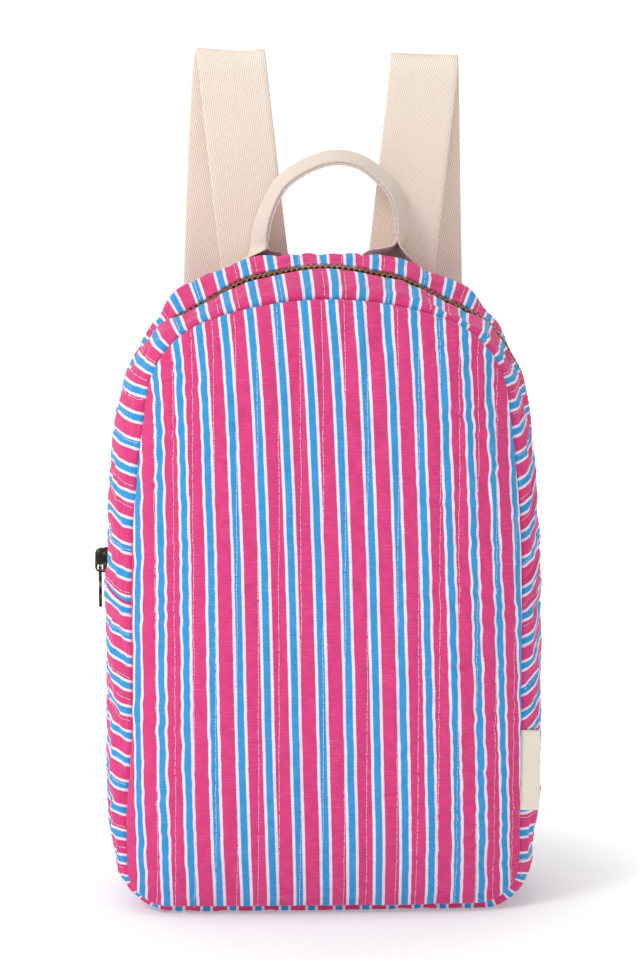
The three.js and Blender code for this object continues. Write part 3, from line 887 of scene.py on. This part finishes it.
@made_once
def studio_white(name):
    graph = Graph(name)
    place = graph.place()
    cloud = graph.noise(place, 3.0)
    parts = graph.add("ShaderNodeSeparateXYZ", None, {0: place})
    reach = graph.field(parts, 0) ** 2 + graph.field(parts, 1) ** 2
    # Painted light and shade: the floor glows brightly away from the bag, so the cast shadow fades to white
    # there, and glows dimly and faintly green near the bag, so its shade shows.
    glow_far_from_bag = 1 - reach.below(0.027, 0.02)
    return graph.finish(
        {"Specular IOR Level": 0.1, "Emission Strength": 1.0},
        colour=graph.shade((1.0, 1.0, 1.0), 0.84 + cloud * 0.02),
        roughness=0.8 + cloud * 0.1,
        glow=graph.mix(glow_far_from_bag, (0.21, 0.23, 0.22), (0.6, 0.6, 0.6)),
    )


# Quilted cloth


def print_length(across, z):
    """Place of the print across a panel, from the middle of a blue stripe."""
    p, q = across / 90, (z - 150) / 140
    return sum(value * p**i * q**j for i, row in enumerate(PRINT_DRIFT) for j, value in enumerate(row))


def panel_length(surface, x):
    """Cloth length across a panel at mid-height, from its middle to x."""
    u = eased(801)
    points = surface(u, np.full_like(u, 0.5))
    order = np.argsort(points[:, 0])
    points = points[order]
    lengths = path_lengths(points)
    middle = np.interp(0.0, points[:, 0], lengths)
    return np.interp(x, points[:, 0], lengths) - middle


def seam_turn(out_x, face, out_z):
    return unit(np.stack([out_x, face + 0 * out_x, out_z], -1))


def panel_edge_turn(points, face):
    """Direction in which the seam allowance turns in, for points on a panel's edge."""
    distances = np.linspace(0, HALF_SEAM, 4000)
    x, z, out_x, out_z, _ = seam_at(distances)
    turns = np.zeros_like(points)
    for k, point in enumerate(points):
        nearest = np.argmin((x - abs(point[0])) ** 2 + (z - point[2]) ** 2)
        side = 1.0 if point[0] >= 0 else -1.0
        turns[k] = seam_turn(np.array(side * out_x[nearest]), face, np.array(out_z[nearest]))
    return turns


def stitch_template():
    """One stitch, a knot and its thread: its points, from -0.5 to 0.5 along, and its faces."""
    stations = (
        (-0.5, 0.5, -0.1),
        (-0.44, 1.25, 0.2),
        (-0.27, 1.25, 0.2),
        (-0.18, 0.75, 0.0),
        (0.42, 0.7, 0.0),
        (0.5, 0.4, -0.1),
    )
    section = ((-1, 0), (0, 1), (1, 0), (0, -0.6))
    points = [(along, a * size, up * size + lift) for along, size, lift in stations for a, up in section]
    return np.array(points), loft_faces(len(stations), len(section))


def stitches_piece(name, lines, settings, seed):
    """Quilting stitches along lines, each a pair of point and normal arrays."""
    random = np.random.RandomState(seed)
    pitch = settings.stitch_pitch / MM
    length = settings.stitch_length / MM
    centres, axes = [], []
    for points, normals in lines:
        places, middle, ahead = along_path(points, pitch, random.uniform(2.0, 3.5))
        up = unit(sampled(places, path_lengths(points), normals))
        turn = random.normal(0, 0.045, (len(places), 1))
        side = unit(np.cross(up, ahead))
        ahead = unit(ahead + turn * side)
        side = unit(np.cross(up, ahead))
        size = length * random.uniform(0.86, 1.1, (len(places), 1))
        centres.append(middle + up * STITCH_LIFT)
        axes.append(np.stack([ahead * size, side * STITCH_RADIUS, up * STITCH_RADIUS], 1))
    thread = cotton_thread("cotton_thread", settings)
    return copies_piece(name, *stitch_template(), np.concatenate(centres), np.concatenate(axes), thread)


def wadding_puff(points, held, depth):
    """Height of the padded cloth at each point of a grid."""
    columns, rows = (np.arange(0, n, PUFF_STEP) for n in points.shape[:2])
    puff = simulated_puff(points[columns][:, rows], held[columns][:, rows], 1.5 * depth)
    puff = cubic_resample(puff, np.arange(points.shape[0]) / PUFF_STEP)
    puff = cubic_resample(puff.T, np.arange(points.shape[1]) / PUFF_STEP).T
    return puff - 0.5 * depth


def build_panel(name, face, dome, settings, seed):
    """One quilted panel and the lines that its stitches follow."""
    columns, rows = PANEL_GRID
    surface = panel_surface(face, dome)
    u, t = np.meshgrid(eased(columns, 0.3), (eased(rows, 0.3) + 1) / 2, indexing="ij")
    smooth = surface(u, t)
    normal = surface_normal(surface, np.clip(u, -0.998, 0.998), np.clip(t, 0.002, 0.998), 0.0015, 0.0015)
    edge = np.ones((columns, rows), bool)
    edge[1:-1, 1:-1] = False
    normal[edge] = panel_edge_turn(smooth[edge], face)
    sideways, upright = edge_distance(smooth)
    near = np.minimum(sideways, upright)
    z = smooth[..., 2]
    across = panel_length(surface, smooth[..., 0])
    from_line, nearest, _ = line_distance(across, QUILT_LINES)
    held = stitch_hold(near, from_line)
    puff = wadding_puff(smooth, held, settings.quilt_depth / MM)
    puff = puff * smoothstep(near, 0, 5) * (0.35 + 0.65 * smoothstep(sideways, 3, 28))
    relief = puff + (crease_relief(from_line, nearest, z, near, seed) + seam_roll(1.0, near))
    outer = smooth + normal * relief[..., None]
    wave = 0.6 * smooth_noise(z / 17, nearest * 0.31, seed + 3)
    wave = wave + 0.35 * smooth_noise(z / 6.2, z * 0, seed + 4)
    stripe = print_length(across, z) + wave * (0.15 + 0.27 * np.exp(-sideways / 9.0))
    cotton = striped_cotton("striped_cotton", settings)
    obj = quilted_piece(name, outer, smooth - normal * WALL, np.stack([stripe, z], -1), cotton)
    fine = grid_normals(outer)
    lines = []
    for number, place in enumerate(QUILT_LINES):
        points, normals = [], []
        for j in range(rows):
            at = np.argsort(across[:, j])
            wander = 0.3 * float(smooth_noise(z[:, j].mean() / 16, number * 1.7, seed + 5))
            if across[at[0], j] + 3 < place < across[at[-1], j] - 3:
                points.append(sampled(place + wander, across[at, j], outer[at, j]))
                normals.append(sampled(place + wander, across[at, j], fine[at, j]))
        if len(points) > 8:
            lines.append((np.array(points), unit(np.array(normals))))
    return obj, lines


def climbed(s, y):
    """Place along the gusset of cloth that climbs towards the back at the sides."""
    beside = np.where(s > HALF_SEAM, s - 2 * HALF_SEAM, s)
    from_top = np.abs(beside)
    depth = y + SEAM_HALF_DEPTH
    left = -LEFT_CLIMB * (1 - smoothstep(from_top, 300, 345))
    right = RIGHT_CLIMB * (1 - smoothstep(from_top, 258, 308))
    climb = CLIMB_DEPTH * np.tanh(depth / CLIMB_DEPTH) * smoothstep(from_top, 90, 170)
    return s - np.where(beside > 0, right, left) * climb


def gusset_print(length, run, depths):
    """Place of the print along a stretch of gusset, from the middle of a blue stripe."""
    if depths[0] > 0:
        return length + BACK_BAND_SHIFT
    if depths[1] < 0:
        return length + FRONT_BAND_SHIFT - FRONT_BAND_DRIFT * np.tanh(run / 40)
    stretch, above, below, left = FOOT_PRINT
    shift = above + (below - above) * smoothstep(run, 240, 315)
    shift = shift + (left - shift) * smoothstep(run, HALF_SEAM - 40, HALF_SEAM + 40)
    return length * stretch + shift


def build_gusset(name, stretch, depths, grid, settings, seed):
    """A stretch of quilted gusset and the lines that its stitches follow."""
    columns, rows = grid
    run, share = np.meshgrid(np.linspace(*stretch, columns), (eased(rows, 0.3) + 1) / 2, indexing="ij")
    y = depths[0] + (depths[1] - depths[0]) * share
    s = climbed(run, y)
    smooth = gusset_surface(s, y)
    inside = np.clip(y, -SEAM_HALF_DEPTH + 0.1, SEAM_HALF_DEPTH - 0.1)
    normal = surface_normal(gusset_surface, s, inside, 0.2, 0.05)
    _, _, out_x, out_z, _ = seam_at(s)
    on_seam = np.abs(y) > SEAM_HALF_DEPTH - 1e-6
    normal = np.where(on_seam[..., None], seam_turn(out_x, np.sign(y), out_z), normal)
    sideways, upright = edge_distance(smooth)
    length = gusset_length(run, -20.0 if depths[0] < 0 else 20.0)
    near = np.minimum(upright, sideways)
    pitch = settings.quilt_pitch / MM
    first, last = math.floor(length.min() / pitch) - 1, math.ceil(length.max() / pitch) + 1
    places = [k * pitch - 1.2 for k in range(first, last + 1)]
    from_line, nearest, _ = line_distance(length, places)
    held = stitch_hold(near, from_line)
    puff = wadding_puff(smooth, held, settings.quilt_depth / MM)
    from_seam = SEAM_HALF_DEPTH - np.abs(y)
    at_seam = np.minimum(from_seam, sideways)
    relief = puff * smoothstep(near, 0, 5) + crease_relief(from_line, nearest, y, near, seed)
    roll = 1 + 0.4 * np.exp(-from_seam / 8)
    relief = relief + seam_roll(roll, at_seam) * smoothstep(near, 0, 3)
    depth = y + SEAM_HALF_DEPTH
    beside_label = np.abs(s - LABEL_DROOP * depth - LABEL_FROM_TOP - LABEL_HEIGHT / 2) - LABEL_HEIGHT / 2
    clear = np.maximum(beside_label, depth - LABEL_REACH)
    beside_pull = (s - 2 * HALF_SEAM + PULL_LIES_AT) / 20
    clear = smoothstep(clear, 0, 3) * (1 - 0.75 * np.exp(-(beside_pull**2) - (y / 10) ** 2))
    relief = np.where(relief > 0, relief * clear, relief)
    from_join = np.abs(run - ZIP_RIGHT_END)
    relief = relief - JOIN_SINK * bell(from_join, 1.5) * smoothstep(at_seam, 0, 4)
    outer = smooth + normal * relief[..., None]
    standing = smooth[..., 2] < 0.3
    outer[..., 2] = np.where(standing, 0.0, np.maximum(outer[..., 2], 0.0))
    cloth = np.stack([gusset_print(length, run, depths), y], -1)
    cotton = striped_cotton("striped_cotton", settings)
    obj = quilted_piece(name, outer, smooth - normal * WALL, cloth, cotton)
    fine = grid_normals(outer)
    lines = []
    for place in places:
        at = np.interp(place, length[:, 0], np.arange(columns))
        low = min(int(at), columns - 2)
        mixed = at - low
        points = outer[low] * (1 - mixed) + outer[low + 1] * mixed
        normals = fine[low] * (1 - mixed) + fine[low + 1] * mixed
        if length.min() + 4 < place < length.max() - 4 and points[:, 2].min() > 0.05:
            lines.append((points, unit(normals)))
    return obj, lines


def seat(obj, node):
    """Fixes a piece to the bag in the place of one of the frame's nodes."""
    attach(obj, "bag")
    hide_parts(node)


def seat_quilt(obj, node, lines, settings, seed):
    """Fixes a padded piece to the bag and sews its stitches."""
    seat(obj, node)
    stitches = stitches_piece(obj.name + "_stitches", lines, settings, seed)
    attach(stitches, "bag")


def seat_webbing(obj, node):
    """Fixes a piece of webbing to the bag."""
    seat(obj, node)


def own(context):
    """The backpack's settings in the scene."""
    return context.scene.backpack


class BACKPACK_OT_panels(bpy.types.Operator):
    """Make the quilted front and back panels with their stitches"""

    bl_idname = "backpack.panels"
    bl_label = "Quilted Panels"
    bl_options = {"REGISTER", "UNDO"}

    def execute(self, context):
        settings = own(context)
        pieces = (
            ("front_quilt", "front_panel", -1, FRONT_DOME, 11),
            ("back_quilt", "back_panel", 1, BACK_DOME, 23),
        )
        for name, node, face, dome, seed in pieces:
            obj, lines = build_panel(name, face, dome, settings, seed)
            seat_quilt(obj, node, lines, settings, seed)
        return {"FINISHED"}


class BACKPACK_OT_gusset(bpy.types.Operator):
    """Make the two zip bands and the foot's gusset with their stitches"""

    bl_idname = "backpack.gusset"
    bl_label = "Quilted Gusset"
    bl_options = {"REGISTER", "UNDO"}

    def execute(self, context):
        settings = own(context)
        left, right = -ZIP_HALF_LENGTH, ZIP_RIGHT_END
        edge, slot = SEAM_HALF_DEPTH, ZIP_HALF_SLOT
        foot = (right + 0.3, left - 0.3 + 2 * HALF_SEAM)
        pieces = (
            ("front_band", "zip_band_front", (left, right), (-edge, -slot), BAND_GRID),
            ("back_band", "zip_band_back", (left, right), (slot, edge), BAND_GRID),
            ("foot_quilt", "foot_gusset", foot, (-edge, edge), FOOT_GRID),
        )
        for seed, (name, node, stretch, depths, grid) in enumerate(pieces, 41):
            obj, lines = build_gusset(name, stretch, depths, grid, settings, seed)
            seat_quilt(obj, node, lines, settings, seed)
        return {"FINISHED"}


# Zip


def zip_frame(s):
    """Points midway between the bands' edges along the zip, with its directions along, across and out."""
    x, z, out_x, out_z, from_top = seam_at(s)
    front, back = (gusset_rise(from_top, y, x) for y in (-ZIP_HALF_SLOT, ZIP_HALF_SLOT))
    level = (front + back) / 2
    radial = np.stack([out_x, 0 * s, out_z], -1)
    points = np.stack([x, 0 * s, z], -1) + radial * level[:, None]
    slope = ((back - front) / (2 * ZIP_HALF_SLOT))[:, None]
    across = unit(np.array([0.0, 1.0, 0.0]) + slope * radial)
    out = unit(radial - slope * np.array([0.0, 1.0, 0.0]))
    return points, np.stack([out_z, 0 * s, -out_x], -1), across, out


def tooth_template():
    """One tooth: a block with rounded edges, along the zip, across it and out of it."""
    block = bmesh.new()
    bmesh.ops.create_cube(block, size=1.0)
    bmesh.ops.bevel(
        block, geom=block.edges[:], offset=0.16, segments=2, profile=0.6, affect="EDGES", clamp_overlap=True
    )
    points = np.array([tuple(v.co) for v in block.verts])
    faces = [[v.index for v in face.verts] for face in block.faces]
    block.free()
    return points, faces


class BACKPACK_OT_zip(bpy.types.Operator):
    """Make the zip's tape and its two rows of teeth"""

    bl_idname = "backpack.zip"
    bl_label = "Zip"
    bl_options = {"REGISTER", "UNDO"}

    def execute(self, context):
        settings = own(context)
        end = ZIP_HALF_LENGTH - 0.3
        s = np.linspace(-end, end, 180)
        points, _, across, out = zip_frame(s)
        widths = np.linspace(-TAPE_HALF_WIDTH, TAPE_HALF_WIDTH, 12)
        top, foot = TAPE_LEVELS
        profile = [(w, top) for w in widths] + [(w, foot) for w in widths[::-1]]
        rings = np.stack([points + out * h + across * w for w, h in profile], 1)
        cloth = np.stack([np.broadcast_to(s[:, None], rings.shape[:2]), rings[..., 1]], -1)
        tape = loft_piece("tape", rings[:, ::-1], cloth, plain_cotton("tape_weave", settings.tape, 0.4))
        seat(tape, "zip_tape")

        half_pitch = settings.tooth_pitch / MM / 2
        places = np.arange(SLIDER_AT + 7.0, ZIP_RIGHT_END - 2.0 - RIGHT_CLIMB * CLIMB_DEPTH, half_pitch)
        points, ahead, across, out = zip_frame(places)
        side = np.where(np.arange(len(places)) % 2, 1.0, -1.0)[:, None]
        across = across * side
        centres = points + across * TOOTH_ASIDE - out * TOOTH_SUNK
        axes = np.stack([a * size for a, size in zip((ahead, across, out), TOOTH_SIZE)], 1)
        flip = (side[:, 0] > 0)[:, None, None]
        axes = np.where(flip, axes, axes * np.array([-1.0, 1.0, 1.0])[None, :, None])
        metal = worn_metal("zip_brass", settings.brass, linear(206, 160, 116), 0.34)
        teeth = copies_piece("teeth", *tooth_template(), centres, axes, metal)
        seat(teeth, "zip_chain")
        return {"FINISHED"}


class BACKPACK_OT_slider(bpy.types.Operator):
    """Round the edges of the slider and its pull and finish them in worn bronze"""

    bl_idname = "backpack.slider"
    bl_label = "Slider and Pull"
    bl_options = {"REGISTER", "UNDO"}

    def execute(self, context):
        settings = own(context)
        metal = worn_metal("dark_bronze", settings.bronze, linear(150, 138, 110), 0.15)
        for name in ("zip_slider", "zip_pull"):
            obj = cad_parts[name]
            weld = obj.modifiers.new("weld", "WELD")
            weld.merge_threshold = 0.01 * MM
            bevel = obj.modifiers.new("round", "BEVEL")
            bevel.width = 0.3 * MM
            bevel.segments = 3
            bevel.angle_limit = math.radians(35)
            obj.data.materials.clear()
            obj.data.materials.append(metal)
        return {"FINISHED"}


# Webbing


def blend(first, second, start, end, t):
    return (end - t) / (end - start) * first + (t - start) / (end - start) * second


def smooth_path(stations, per_span):
    """A centripetal Catmull-Rom line through stations, with so many steps to a span."""
    stations = np.asarray(stations, float)
    first = 2 * stations[0] - stations[1]
    last = 2 * stations[-1] - stations[-2]
    knots = np.concatenate([[first], stations, [last]])
    line = []
    for k in range(len(stations) - 1):
        p = knots[k : k + 4]
        gaps = np.linalg.norm(np.diff(p[:, :3], axis=0), axis=-1) ** 0.5
        t0, t1, t2, t3 = np.concatenate([[0], np.cumsum(gaps)])
        t = np.linspace(t1, t2, per_span, endpoint=False)[:, None]
        a1, a2, a3 = blend(p[0], p[1], t0, t1, t), blend(p[1], p[2], t1, t2, t), blend(p[2], p[3], t2, t3, t)
        b1, b2 = blend(a1, a2, t0, t2, t), blend(a2, a3, t1, t3, t)
        line.append(blend(b1, b2, t1, t2, t))
    return np.concatenate(line + [stations[-1:]])


def resampled(line, step):
    """Stations at even steps along a line, with the place of each."""
    lengths = path_lengths(line[:, :3])
    places = np.linspace(0, lengths[-1], int(lengths[-1] / step) + 1)
    return places, sampled(places, lengths, line)


def webbing_profile(columns=15):
    """A webbing's cross-section with rounded selvedges: place across, and height from -1 to 1."""
    across = np.linspace(-1, 1, columns) * (WEBBING_HALF_WIDTH - 0.7)
    top = [(a, 1.0) for a in across]
    edge = [(WEBBING_HALF_WIDTH - 0.2, 0.72), (WEBBING_HALF_WIDTH, 0.0), (WEBBING_HALF_WIDTH - 0.2, -0.72)]
    return top + edge + [(a, -h) for a, h in top[::-1]] + [(-a, -h) for a, h in edge]


def build_strap(name, stations, mirror, settings, seed):
    stations = np.array(stations, float)
    stations[:, 0] = mirror * stations[:, 0] + STRAP_OFFSET
    places, line = resampled(smooth_path(stations, 12), 3.2)
    centre = line[:, :3]
    lean = np.radians(line[:, 3])
    forward = unit(np.gradient(centre, axis=0))
    across = np.stack([np.cos(lean), 0 * lean, -mirror * np.sin(lean)], -1)
    across = unit(across - forward * np.sum(across * forward, -1, keepdims=True))
    face = np.cross(forward, across)
    half = WEBBING_THICKNESS / 2
    rings, cloth = [], []
    for a, h in webbing_profile():
        sag = 0.25 * smooth_noise(places / 45 + seed, places * 0 + a / 14, seed)
        rings.append(centre + across * a + face * (h * half + sag)[:, None])
        cloth.append(np.stack([places * 0 + a, places], -1))
    rings, cloth = np.stack(rings, 1), np.stack(cloth, 1)
    obj = loft_piece(name, rings, cloth, webbing_twill("strap_twill", settings))
    return obj, places[-1]


class BACKPACK_OT_straps(bpy.types.Operator):
    """Make the two webbing shoulder straps"""

    bl_idname = "backpack.straps"
    bl_label = "Shoulder Straps"
    bl_options = {"REGISTER", "UNDO"}

    def execute(self, context):
        settings = own(context)
        for name, node, stations, mirror, seed in (
            ("left_webbing", "strap_left", LEFT_STRAP, -1, 61),
            ("right_webbing", "strap_right", RIGHT_STRAP, 1, 67),
        ):
            obj, length = build_strap(name, stations, mirror, settings, seed)
            seat_webbing(obj, node)
        return {"FINISHED"}


def build_handle(settings):
    """Webbing that lies flat at its feet and folds lengthwise over the grip, with its edges to the front."""
    stations = np.array(HANDLE_STATIONS, float)
    spine_y = SEAM_HALF_DEPTH + SEAM_GAP + WEBBING_THICKNESS / 2 + 0.4
    stations = np.insert(stations, 1, spine_y, axis=1)
    lengths, line = resampled(smooth_path(stations, 12), 1.1)
    spine = line[:, :3]
    opening, tilt = np.radians(line[:, 3]), np.radians(line[:, 4])
    tangent = unit(np.gradient(spine, axis=0))
    radial = np.stack([-tangent[:, 2], 0 * lengths, tangent[:, 0]], -1)
    toward = np.array([0.0, -1.0, 0.0])
    front = toward * np.cos(tilt)[:, None] - radial * np.sin(tilt)[:, None]
    out = toward * np.sin(tilt)[:, None] + radial * np.cos(tilt)[:, None]
    flatness = line[:, 3] / stations[0, 3]
    half = HANDLE_THICKNESS / 2

    def middle(q):
        """The webbing's middle at a place across it, forward of the spine and out of it."""
        ahead = np.sqrt((q * np.cos(opening)) ** 2 + half**2) - half
        apart = q * np.sin(opening) + (half - 0.1) * np.tanh(q / 1.1) * np.cos(opening)
        return np.stack([ahead, apart + 0 * ahead], -1)

    rings, cloth = [], []
    for a, h in webbing_profile(31):
        at = middle(a)
        step = unit(middle(a + 0.05) - middle(a - 0.05))
        at = at + np.stack([-step[:, 1], step[:, 0]], -1) * h * half
        point = spine + front * at[:, :1] + out * at[:, 1:]
        climb = arc_drop(CROWN_RADIUS, spine[:, 0]) - arc_drop(CROWN_RADIUS, point[:, 0])
        point[:, 2] += flatness * np.maximum(climb, 0.3 * climb)
        rings.append(point)
        cloth.append(np.stack([0 * lengths + a, lengths], -1))
    rings, cloth = np.stack(rings, 1), np.stack(cloth, 1)
    # The handle's webbing is the straps' webbing painted 16% darker, as painted shade against the brighter
    # light on the top of the bag.
    twill = webbing_twill("handle_twill", settings, 0.4, 0.84)
    return loft_piece("handle_webbing", rings, cloth, twill), lengths[-1]


class BACKPACK_OT_handle(bpy.types.Operator):
    """Make the carry handle, flat at its feet and folded lengthwise over the grip"""

    bl_idname = "backpack.handle"
    bl_label = "Carry Handle"
    bl_options = {"REGISTER", "UNDO"}

    def execute(self, context):
        obj, length = build_handle(own(context))
        seat_webbing(obj, "carry_handle")
        return {"FINISHED"}


class BACKPACK_OT_label(bpy.types.Operator):
    """Make the bare side label, a folded tape in the front seam"""

    bl_idname = "backpack.label"
    bl_label = "Side Label"
    bl_options = {"REGISTER", "UNDO"}

    def execute(self, context):
        settings = own(context)
        columns, rows = 41, 17
        s, y = np.meshgrid(
            np.linspace(LABEL_FROM_TOP, LABEL_FROM_TOP + LABEL_HEIGHT, columns),
            np.linspace(-SEAM_HALF_DEPTH + 0.15, -SEAM_HALF_DEPTH + LABEL_REACH, rows),
            indexing="ij",
        )
        cloth = np.stack([s, y], -1)
        depth = y + SEAM_HALF_DEPTH
        s = s + LABEL_DROOP * depth
        smooth = gusset_surface(s, y)
        normal = surface_normal(gusset_surface, s, y, 0.2, 0.05)
        smooth[..., 0] -= 0.9 * np.exp(-depth / 2.5)
        lift = (0.15 + 0.6 * smoothstep(depth, 0, 6))[..., None]
        weave = plain_cotton("label_weave", settings.label, 0.12)
        outer = smooth + normal * (lift + LABEL_THICKNESS)
        obj = quilted_piece("label_tape", outer, smooth + normal * lift, cloth, weave)
        seat(obj, "side_label")
        return {"FINISHED"}


# Studio


def add_light(name, place, target, size, power):
    lamp = bpy.data.lights.new(name, "AREA")
    lamp.shape = "DISK"
    lamp.size = size
    lamp.energy = power
    obj = bpy.data.objects.new(name, lamp)
    bpy.context.scene.collection.objects.link(obj)
    obj.location = place
    obj.rotation_euler = (Vector(target) - Vector(place)).to_track_quat("-Z", "Y").to_euler()


class BACKPACK_OT_studio(bpy.types.Operator):
    """Set up the pale floor, the soft lights and the camera"""

    bl_idname = "backpack.studio"
    bl_label = "Studio"
    bl_options = {"REGISTER", "UNDO"}

    def execute(self, context):
        scene = context.scene
        depth, height, bend = 2400.0, 2600.0, 700.0
        profile = [(-3000.0, 0.0), (depth - bend, 0.0)]
        for k in range(1, 17):
            angle = math.pi / 2 * k / 16
            profile.append((depth - bend + bend * math.sin(angle), bend - bend * math.cos(angle)))
        profile.append((depth, height))
        points = np.array([(x, y, z) for y, z in profile for x in (-4000.0, 4000.0)])
        faces = [[2 * k, 2 * k + 1, 2 * k + 3, 2 * k + 2] for k in range(len(profile) - 1)]
        floor = mesh_piece("studio_floor", points, faces, studio_white("studio_white"))

        world = bpy.data.worlds.new("studio_air")
        world.use_nodes = True
        background = world.node_tree.nodes["Background"]
        background.inputs["Color"].default_value = (1.0, 1.0, 1.0, 1.0)
        background.inputs["Strength"].default_value = WORLD_STRENGTH
        scene.world = world
        scene.view_settings.view_transform = "Standard"
        scene.view_settings.look = "None"
        middle = (0.0, 0.0, 0.2)
        for name, place, size, power in LIGHTS:
            add_light(name, place, middle, size, power)

        turn, tilt, reach = math.radians(-2.6), math.radians(10.0), 1.8
        right = Vector((math.cos(turn), math.sin(turn), 0.0))
        ahead = Vector((-math.sin(turn) * math.cos(tilt), math.cos(turn) * math.cos(tilt), -math.sin(tilt)))
        up = right.cross(ahead)
        aside, above = 1.67, 1.9
        target = Vector(middle) - right * aside * MM + up * above * MM
        camera = bpy.data.cameras.new("photo_camera")
        camera.sensor_width = 36.0
        camera.lens = 141.75
        obj = bpy.data.objects.new("photo_camera", camera)
        scene.collection.objects.link(obj)
        obj.location = target - ahead * reach
        obj.rotation_euler = ahead.to_track_quat("-Z", "Y").to_euler()
        scene.camera = obj
        return {"FINISHED"}


class BACKPACK_PT_pieces(bpy.types.Panel):
    """Pieces of the backpack and their sizes"""

    bl_label = "Mini Backpack"
    bl_idname = "BACKPACK_PT_pieces"
    bl_space_type = "VIEW_3D"
    bl_region_type = "UI"
    bl_category = "Backpack"

    def draw(self, context):
        layout = self.layout
        for key in BackpackSettings.__annotations__:
            layout.prop(own(context), key)
        for piece in PIECES:
            layout.operator(piece.bl_idname)


PIECES = (
    BACKPACK_OT_panels,
    BACKPACK_OT_gusset,
    BACKPACK_OT_zip,
    BACKPACK_OT_slider,
    BACKPACK_OT_straps,
    BACKPACK_OT_handle,
    BACKPACK_OT_label,
    BACKPACK_OT_studio,
)
CLASSES = (BackpackSettings, *PIECES, BACKPACK_PT_pieces)


def register():
    for cls in CLASSES:
        bpy.utils.register_class(cls)
    bpy.types.Scene.backpack = bpy.props.PointerProperty(type=BackpackSettings)


def unregister():
    del bpy.types.Scene.backpack
    for cls in reversed(CLASSES):
        bpy.utils.unregister_class(cls)


def main():
    register()
    bpy.ops.backpack.panels()
    bpy.ops.backpack.gusset()
    bpy.ops.backpack.zip()
    bpy.ops.backpack.slider()
    bpy.ops.backpack.straps()
    bpy.ops.backpack.handle()
    bpy.ops.backpack.label()
    bpy.ops.backpack.studio()


if __name__ == "__main__":
    main()
